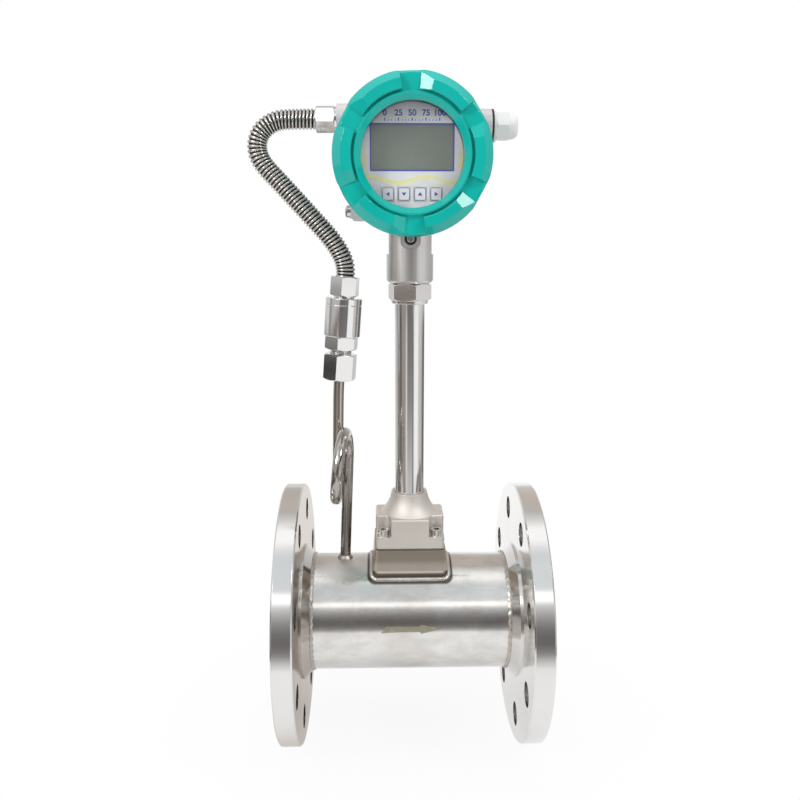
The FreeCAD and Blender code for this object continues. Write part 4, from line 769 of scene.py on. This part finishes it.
def metal_hose(looks):
    """The strip-wound metal hose: one helical ridge with a dark seam between its turns."""
    path = smooth_path("hose_route", HOSE_ROUTE)
    per_turn = len(HOSE_PROFILE)
    centres = even_points(path, HOSE_PITCH / per_turn)
    rings = []
    for i, (centre, (a, b)) in enumerate(zip(centres, frames_along(centres))):
        ring = []
        for j in range(HOSE_SIDES):
            turn = 2 * math.pi * j / HOSE_SIDES
            phase = (i / per_turn + j / HOSE_SIDES) % 1.0 * per_turn
            low = int(phase) % per_turn
            part = phase - int(phase)
            height = HOSE_PROFILE[low] * (1 - part) + HOSE_PROFILE[(low + 1) % per_turn] * part
            r = HOSE_R - HOSE_SEAM + HOSE_SEAM * height
            ring.append(centre + (a * math.cos(turn) + b * math.sin(turn)) * r)
        rings.append(ring)
    points, faces = swept(rings)
    marked = []
    for k, corners in enumerate(faces):
        i, j = divmod(k, HOSE_SIDES)
        phase = ((i + 0.5) / per_turn + (j + 0.5) / HOSE_SIDES) % 1.0 * per_turn
        dark = HOSE_DARK[0] < phase or phase < HOSE_DARK[1]
        marked.append((corners, 1 if dark and k < len(faces) - 2 else 0))
    hose = piece("metal_hose", points, marked, [looks["ridge"], looks["groove"]], None, 55.0)
    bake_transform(hose)
    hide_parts("flex_hose")


def flow_arrow(looks):
    """The etched flow arrow, wrapped on the pipe's front."""
    builder = bmesh.new()
    builder.faces.new([builder.verts.new((x * MM, 0, z * MM)) for x, z in ARROW])
    bmesh.ops.triangulate(builder, faces=builder.faces[:])
    for _ in range(4):
        long_edges = [e for e in builder.edges if e.calc_length() > 0.0012]
        bmesh.ops.subdivide_edges(builder, edges=long_edges, cuts=1)
        bmesh.ops.triangulate(builder, faces=builder.faces[:])
    r = PIPE_R + 0.00003
    for v in builder.verts:
        turn = v.co.z / PIPE_R
        v.co = Vector((STEM_X + v.co.x, -r * math.cos(turn), r * math.sin(turn)))
    mesh = bpy.data.meshes.new("flow_arrow")
    builder.to_mesh(mesh)
    builder.free()
    mesh.materials.append(looks["etched"])
    made = bpy.data.objects.new("flow_arrow", mesh)
    bpy.context.scene.collection.objects.link(made)
    for polygon in mesh.polygons:
        polygon.use_smooth = True
        if polygon.normal.y > 0:
            polygon.flip()
    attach(made, "meter")


def butt_welds(looks):
    """The orbital beads where the pipe meets the flanges' hubs."""
    rng = random.Random(4)
    count = 300
    for name, x0, way in BUTT_WELDS:
        rings = []
        for i in range(count):
            turn = 2 * math.pi * i / count
            lean = 0.00035 * math.sin(i * math.pi / 3) + 0.0001 * rng.uniform(-1, 1)
            swell = 1 + 0.10 * rng.uniform(-1, 1)
            ring = []
            for x, section_r in BUTT_SECTION:
                r = PIPE_R + (section_r - PIPE_R) * (swell if section_r > PIPE_R else 1)
                ring.append(Vector((x0 + way * (x + lean), r * math.cos(turn), r * math.sin(turn))))
            rings.append(ring)
        points, faces = swept(rings, closed=True)
        piece(name, points, faces, looks["weld"], "meter", 60.0)


def on_pipe(x, y):
    """The point on the pipe's top half above x and y."""
    return Vector((x, y, math.sqrt(PIPE_R ** 2 - y ** 2)))


def seat_bead(looks):
    """The rippled bead round the sensor seat, which follows the pipe's curve."""
    outline = corner_points(*BEAD_HALF, BEAD_CORNER, 8)
    spots = [on_pipe(STEM_X + x, y) for x, y in outline + outline[:1]]
    path = []
    for a, b in zip(spots, spots[1:]):
        steps = max(1, round((b - a).length / BEAD_STEP))
        for k in range(steps):
            point = a.lerp(b, k / steps)
            path.append(on_pipe(point.x, point.y))
    turns = [2 * math.pi * j / BEAD_SIDES for j in range(BEAD_SIDES)]
    rng = random.Random(11)
    rings = []
    for i, point in enumerate(path):
        way = (path[(i + 1) % len(path)] - path[i - 1]).normalized()
        up = Vector((0, point.y, point.z)).normalized()
        side = way.cross(up).normalized()
        up = side.cross(way)
        ripple = i % BEAD_RIPPLE / BEAD_RIPPLE
        swell = BEAD_R * (0.97 + 0.07 * ripple + 0.02 * rng.uniform(-1, 1))
        rings.append([point + (side * math.cos(turn) * 1.15 + up * math.sin(turn)) * swell for turn in turns])
    points, faces = swept(rings, closed=True)
    bead = piece("seat_bead", points, faces, looks["bead"], "meter", 60.0)
    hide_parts("seat_weld")


def port_thread(looks):
    """The turns of thread that show between the union nut and the sensor's hexagon."""
    side = STACK_WAY.orthogonal().normalized()
    other = STACK_WAY.cross(side)
    per_turn = 40
    count = THREAD_TURNS * per_turn
    fade = 12
    root = THREAD_ROOT_R
    rings = []
    for i in range(int(count) + 1):
        turn = 2 * math.pi * i / per_turn
        height = THREAD_START + THREAD_PITCH * i / per_turn
        crest = root + THREAD_DEPTH * min(1.0, i / fade, (count - i) / fade)
        out = side * math.cos(turn) + other * math.sin(turn)
        section = ((-0.00042, root), (-0.00008, crest), (0.00008, crest), (0.00042, root))
        rings.append([STACK_FOOT + STACK_WAY * (height + z) + out * r for z, r in section])
    points, faces = swept(rings)
    piece("port_thread", points, faces, looks["screw"], "meter", 25.0)


def on_head(u, v, y):
    """A point of the head's front, from millimetres to its right and up, and its y in metres."""
    return Vector((STEM_X + u * MM, y, HEAD_Z + v * MM))


def flat_piece(name, outlines, look, body, front):
    """Thin printed shapes on the head's front, each outline a list of (u, v) in millimetres."""
    points = []
    faces = []
    for outline in outlines:
        n = len(outline)
        base = len(points)
        for y in (front, front + PRINT_DEPTH):
            points += [on_head(u, v, y) for u, v in outline]
        faces.append(tuple(range(base, base + n)))
        faces.append(tuple(range(base + 2 * n - 1, base + n - 1, -1)))
        faces += [(base + k, base + (k + 1) % n, base + n + (k + 1) % n, base + n + k) for k in range(n)]
    piece(name, points, faces, look, body, 0)


def frame_outline(name, size, centre, width, corner, look, body, front, depth=PRINT_DEPTH):
    """A printed rectangular frame with round corners, in millimetres but for front and depth."""
    half_u, half_v = size[0] / 2, size[1] / 2
    outer = corner_points(half_u, half_v, corner, 6)
    inner = corner_points(half_u - width, half_v - width, max(0.05, corner - width), 6)
    back = front + depth
    rings = []
    for out, within in zip(outer, inner):
        section = ((out, front), (within, front), (within, back), (out, back))
        rings.append([on_head(centre[0] + u, centre[1] + v, y) for (u, v), y in section])
    points, faces = swept(rings, closed=True)
    piece(name, points, faces, look, body, 0)


def printed_number(name, text, u, look):
    """A plain number of the printed scale, as a thin mesh."""
    data = bpy.data.curves.new(name, "FONT")
    data.body = text
    data.size = NUMBER_SIZE * MM
    data.align_x = "CENTER"
    data.align_y = "CENTER"
    data.extrude = 0.00002
    data.offset = 0.00016
    holder = bpy.data.objects.new(name + "_text", data)
    bpy.context.scene.collection.objects.link(holder)
    holder.rotation_euler = (math.radians(90), 0, 0)
    holder.location = on_head(u, NUMBERS_UP, PLATE_Y - 0.00004)
    bpy.context.view_layer.update()
    mesh = bpy.data.meshes.new_from_object(holder)
    mesh.transform(holder.matrix_world)
    bpy.data.objects.remove(holder)
    made = bpy.data.objects.new(name, mesh)
    bpy.context.scene.collection.objects.link(made)
    mesh.materials.clear()
    mesh.materials.append(look)
    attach(made, "head")


def face_print(looks):
    """What is printed on the face plate: the display's frame, a plain scale and its numbers."""
    depth = 0.00006
    front = PLATE_Y - depth
    frame_outline("lcd_border", LCD_FRAME, (0, LCD_UP), 1.0, 0.6, looks["blue"], "head", front,
                  depth)
    ticks = []
    for k in range((NUMBERS - 1) * TICKS_PER_NUMBER + 1):
        u = SCALE_START + TICK_STEP * k
        half, height = (0.35, 2.0) if k % TICKS_PER_NUMBER == 0 else (0.2, 1.1)
        top = TICKS_UP + height
        ticks.append([(u - half, TICKS_UP), (u + half, TICKS_UP), (u + half, top), (u - half, top)])
    flat_piece("scale_ticks", ticks, looks["blue"], "head", front)
    for k in range(NUMBERS):
        u = SCALE_START + TICK_STEP * TICKS_PER_NUMBER * k
        printed_number(f"scale_number_{k}", str(25 * k), u, looks["blue"])


def key_print(looks):
    """Each key's printed border and arrow."""
    shapes = {
        "key_left": (-16.05, [(-1.5, 0), (1.0, 1.5), (1.0, -1.5)]),
        "key_down": (-5.35, [(0, -1.3), (1.6, 1.0), (-1.6, 1.0)]),
        "key_up": (5.35, [(0, 1.3), (-1.6, -1.0), (1.6, -1.0)]),
        "key_right": (16.05, [(1.5, 0), (-1.0, -1.5), (-1.0, 1.5)]),
    }
    front = KEY_Y - PRINT_DEPTH
    for key, (u, arrow) in shapes.items():
        frame_outline(f"{key}_border", KEY_FRAME, (u, KEYS_UP), 0.42, 1.1, looks["outline"], key,
                      front)
        outline = [(u + a, KEYS_UP + b) for a, b in arrow]
        flat_piece(f"{key}_arrow", [outline], looks["blue"], key, front)


# Stage and light

FLOOR_Z = -0.1002
FLOOR_R = 0.36
FLOOR_SIDES = 96
FADE_R = 0.45

# What the metal mirrors, by direction: in the plane across the pipe (degrees up from the camera's side), and
# around the stem (degrees to the right of the camera's side) in three layers from low to high: STEM_BANDS,
# HEX_BANDS and LEVEL_BANDS
OVER_BANDS = [
    (-180, 1.05), (-40, 1.1), (-27, 1.0), (-20, 0.72), (-12, 0.28), (-4, (0.165, 0.155, 0.15)),
    (3, (0.17, 0.16, 0.16)), (10, 0.23), (16, 0.34), (23, 0.54), (29, 0.75), (32, 1.5), (38, 1.5),
    (41, (0.80, 0.84, 0.86)), (72, (0.74, 0.78, 0.81)), (79, 0.92), (86, 1.18), (98, 1.18), (108, 0.80),
    (119, (0.56, 0.53, 0.51)), (133, (0.61, 0.54, 0.49)), (150, (0.60, 0.55, 0.51)), (166, 0.66), (172, 1.0),
    (180, 1.05),
]
STEM_BANDS = [
    (-180, 1.05), (-162, 1.0), (-140, 0.75), (-118, 0.58), (-93, (0.33, 0.30, 0.28)),
    (-78, (0.17, 0.15, 0.14)), (-68, (0.18, 0.16, 0.15)), (-58, (0.40, 0.36, 0.33)),
    (-33, (0.38, 0.34, 0.31)), (-28, 0.96), (-16, (0.96, 0.91, 0.87)), (-10, (0.25, 0.21, 0.19)),
    (-2, (0.25, 0.21, 0.19)), (5, 0.38), (16, 0.36), (20, 0.18), (29, 0.18), (34, 1.1), (66, 1.12),
    (72, 0.70), (104, (0.60, 0.57, 0.55)), (115, 0.30), (123, 0.16), (146, 0.15), (158, 0.6), (170, 1.0),
    (180, 1.05),
]
HEX_BANDS = [
    (-180, 1.05), (-165, 1.0), (-150, 0.70), (-125, 0.40), (-100, 0.30), (-70, (0.26, 0.24, 0.22)),
    (-40, (0.24, 0.20, 0.18)), (-15, (0.24, 0.20, 0.18)), (5, 0.34), (25, 0.40), (36, 0.9), (70, 0.95),
    (85, 0.84), (110, 0.80), (130, 0.6), (150, 0.6), (168, 1.0), (180, 1.05),
]
LEVEL_BANDS = [
    (-180, 1.05), (-162, 1.0), (-150, 0.85), (-138, 0.80), (-126, 0.74), (-104, 0.82), (-96, 0.72),
    (-90, 0.34), (-80, 0.36), (-73, 0.58), (-39, 0.62), (-30, 0.80), (-20, 0.80), (-10, 0.53), (10, 0.46),
    (24, 0.48), (40, 0.58), (50, 0.85), (62, 0.92), (77, 0.66), (99, 0.54), (128, 0.50), (150, 0.7),
    (170, 1.0), (180, 1.05),
]

# Dark and pale cards round the object: the middle's direction and half the width in degrees, the middle's
# height and half the height as the direction's z, and the tone
CARDS = [
    (-83, 14, -0.0985, 0.021, 0.045), (-83, 25, 0.06, 0.055, 0.74), (52, 32, 0.48, 0.20, 0.04),
    (-44, 24, 0.62, 0.25, 1.7),
]

# The lamps: place, size, power, and whether the metal mirrors it
LAMPS = {
    "left": ((-0.78, -0.77, 0.75), 0.3, 4.2, True),
    "right": ((0.84, -0.67, 1.06), 0.3, 3.8, True),
    "top": ((0.1, 0.2, 1.6), 0.9, 6.0, False),
}
LAMP_AIM = Vector((0.1, 0, 0.3))
WORLD_LEVEL = 0.62


def seen_directly(tree, path):
    """Whether a ray comes from the camera or through the glass."""
    return calc(tree, "MAXIMUM", path.outputs["Is Camera Ray"], path.outputs["Is Transmission Ray"])


def floor():
    """The white floor, which fades into the white world at its rim."""
    look, tree, shader = material("floor_white", (0.93, 0.93, 0.93), 0.6)
    _, x, y, _ = place(tree)
    away = calc(tree, "DIVIDE", radius_about(tree, minus(tree, x, STEM_X), y), FADE_R)
    seen = calc(tree, "MULTIPLY_ADD", away, 0.2, 0.88, clamp=True)
    mirrored = calc(tree, "MULTIPLY_ADD", away, 1.3, 0.35, clamp=True)
    path = tree.nodes.new("ShaderNodeLightPath")
    mirrored = times(tree, path.outputs["Is Glossy Ray"], mirrored)
    fade = calc(tree, "MAXIMUM", times(tree, seen_directly(tree, path), seen), mirrored)
    glow = add(tree, "ShaderNodeEmission", Strength=1.0)
    show(tree, shader_mix(tree, fade, shader.outputs[0], glow.outputs[0]))
    turns = [2 * math.pi * k / FLOOR_SIDES for k in range(FLOOR_SIDES)]
    points = [(STEM_X + FLOOR_R * math.cos(turn), FLOOR_R * math.sin(turn), FLOOR_Z) for turn in turns]
    mesh = bpy.data.meshes.new("floor")
    mesh.from_pydata(points, [], [tuple(range(len(points)))])
    mesh.materials.append(look)
    made = bpy.data.objects.new("floor", mesh)
    bpy.context.scene.collection.objects.link(made)


def bands(tree, factor, stops):
    return ramp(tree, factor, [((degrees + 180) / 360, value) for degrees, value in stops])


def turned_from(tree, a, ahead):
    """The direction's angle from straight ahead towards a, as 0 to 1 with ahead at 0.5."""
    return calc(tree, "MULTIPLY_ADD", calc(tree, "ARCTAN2", a, ahead), 0.5 / math.pi, 0.5)


def mirrored_studio(tree):
    """What the metal mirrors: the bands across the pipe, those around the stem, and the cards."""
    way = tree.nodes.new("ShaderNodeTexCoord").outputs["Generated"]
    x, y, z = add(tree, "ShaderNodeSeparateXYZ", Vector=way).outputs[:]
    ahead = times(tree, y, -1.0)
    over = bands(tree, turned_from(tree, z, ahead), OVER_BANDS)
    turn = turned_from(tree, x, ahead)
    stem, hexagon, level = [bands(tree, turn, stops) for stops in (STEM_BANDS, HEX_BANDS, LEVEL_BANDS)]
    around = mixed(tree, rising(tree, z, -0.110, 60.0), stem, hexagon)
    around = mixed(tree, rising(tree, z, -0.064, 90.0), around, level)
    around = mixed(tree, times(tree, falling(tree, z, -0.315, 40.0), 0.6), around, (0.0, 0.0, 0.0))
    aside = times(tree, size_of(tree, minus(tree, turn, 0.5)), 2.0)
    sides = times(tree, rising(tree, aside, 0.095, 20.0), falling(tree, aside, 0.94, 20.0))
    shade = mixed(tree, times(tree, falling(tree, size_of(tree, z), 0.6, 6.0), sides), over, around)
    for middle, half, height, half_height, tone in CARDS:
        across = size_of(tree, minus(tree, turn, (middle + 180) / 360))
        across = calc(tree, "DIVIDE", minus(tree, half / 360, across), 0.15 * half / 360, clamp=True)
        upright = size_of(tree, minus(tree, z, height))
        upright = calc(tree, "DIVIDE", minus(tree, half_height, upright), 0.15 * half_height, clamp=True)
        shade = mixed(tree, times(tree, across, upright), shade, (tone, tone, tone))
    return shade


def studio():
    """A white world with a studio's dark and bright bands for glossy rays, and three soft lamps."""
    world = bpy.data.worlds.new("studio")
    bpy.context.scene.world = world
    world.use_nodes = True
    tree = world.node_tree
    tree.nodes.clear()
    glossy = add(tree, "ShaderNodeBackground", Color=mirrored_studio(tree), Strength=1.0)
    plain = add(tree, "ShaderNodeBackground", Color=(1, 1, 1, 1), Strength=WORLD_LEVEL)
    white = add(tree, "ShaderNodeBackground", Color=(1, 1, 1, 1), Strength=1.0)
    path = tree.nodes.new("ShaderNodeLightPath")
    light = shader_mix(tree, path.outputs["Is Glossy Ray"], plain.outputs[0], glossy.outputs[0])
    light = shader_mix(tree, seen_directly(tree, path), light, white.outputs[0])
    link(tree, light, tree.nodes.new("ShaderNodeOutputWorld").inputs["Surface"])
    for name, (spot, size, power, mirrored) in LAMPS.items():
        data = bpy.data.lights.new(name, "AREA")
        data.size = size
        data.energy = power
        lamp = bpy.data.objects.new(name, data)
        lamp.location = spot
        lamp.rotation_mode = "QUATERNION"
        lamp.rotation_quaternion = (LAMP_AIM - Vector(spot)).to_track_quat("-Z", "Y")
        lamp.visible_glossy = mirrored
        bpy.context.scene.collection.objects.link(lamp)


bpy.context.scene.view_settings.view_transform = "Standard"
place_camera()
looks = make_materials()
dress_nodes(looks)
metal_hose(looks)
flow_arrow(looks)
butt_welds(looks)
seat_bead(looks)
port_thread(looks)
face_print(looks)
key_print(looks)
floor()
studio()
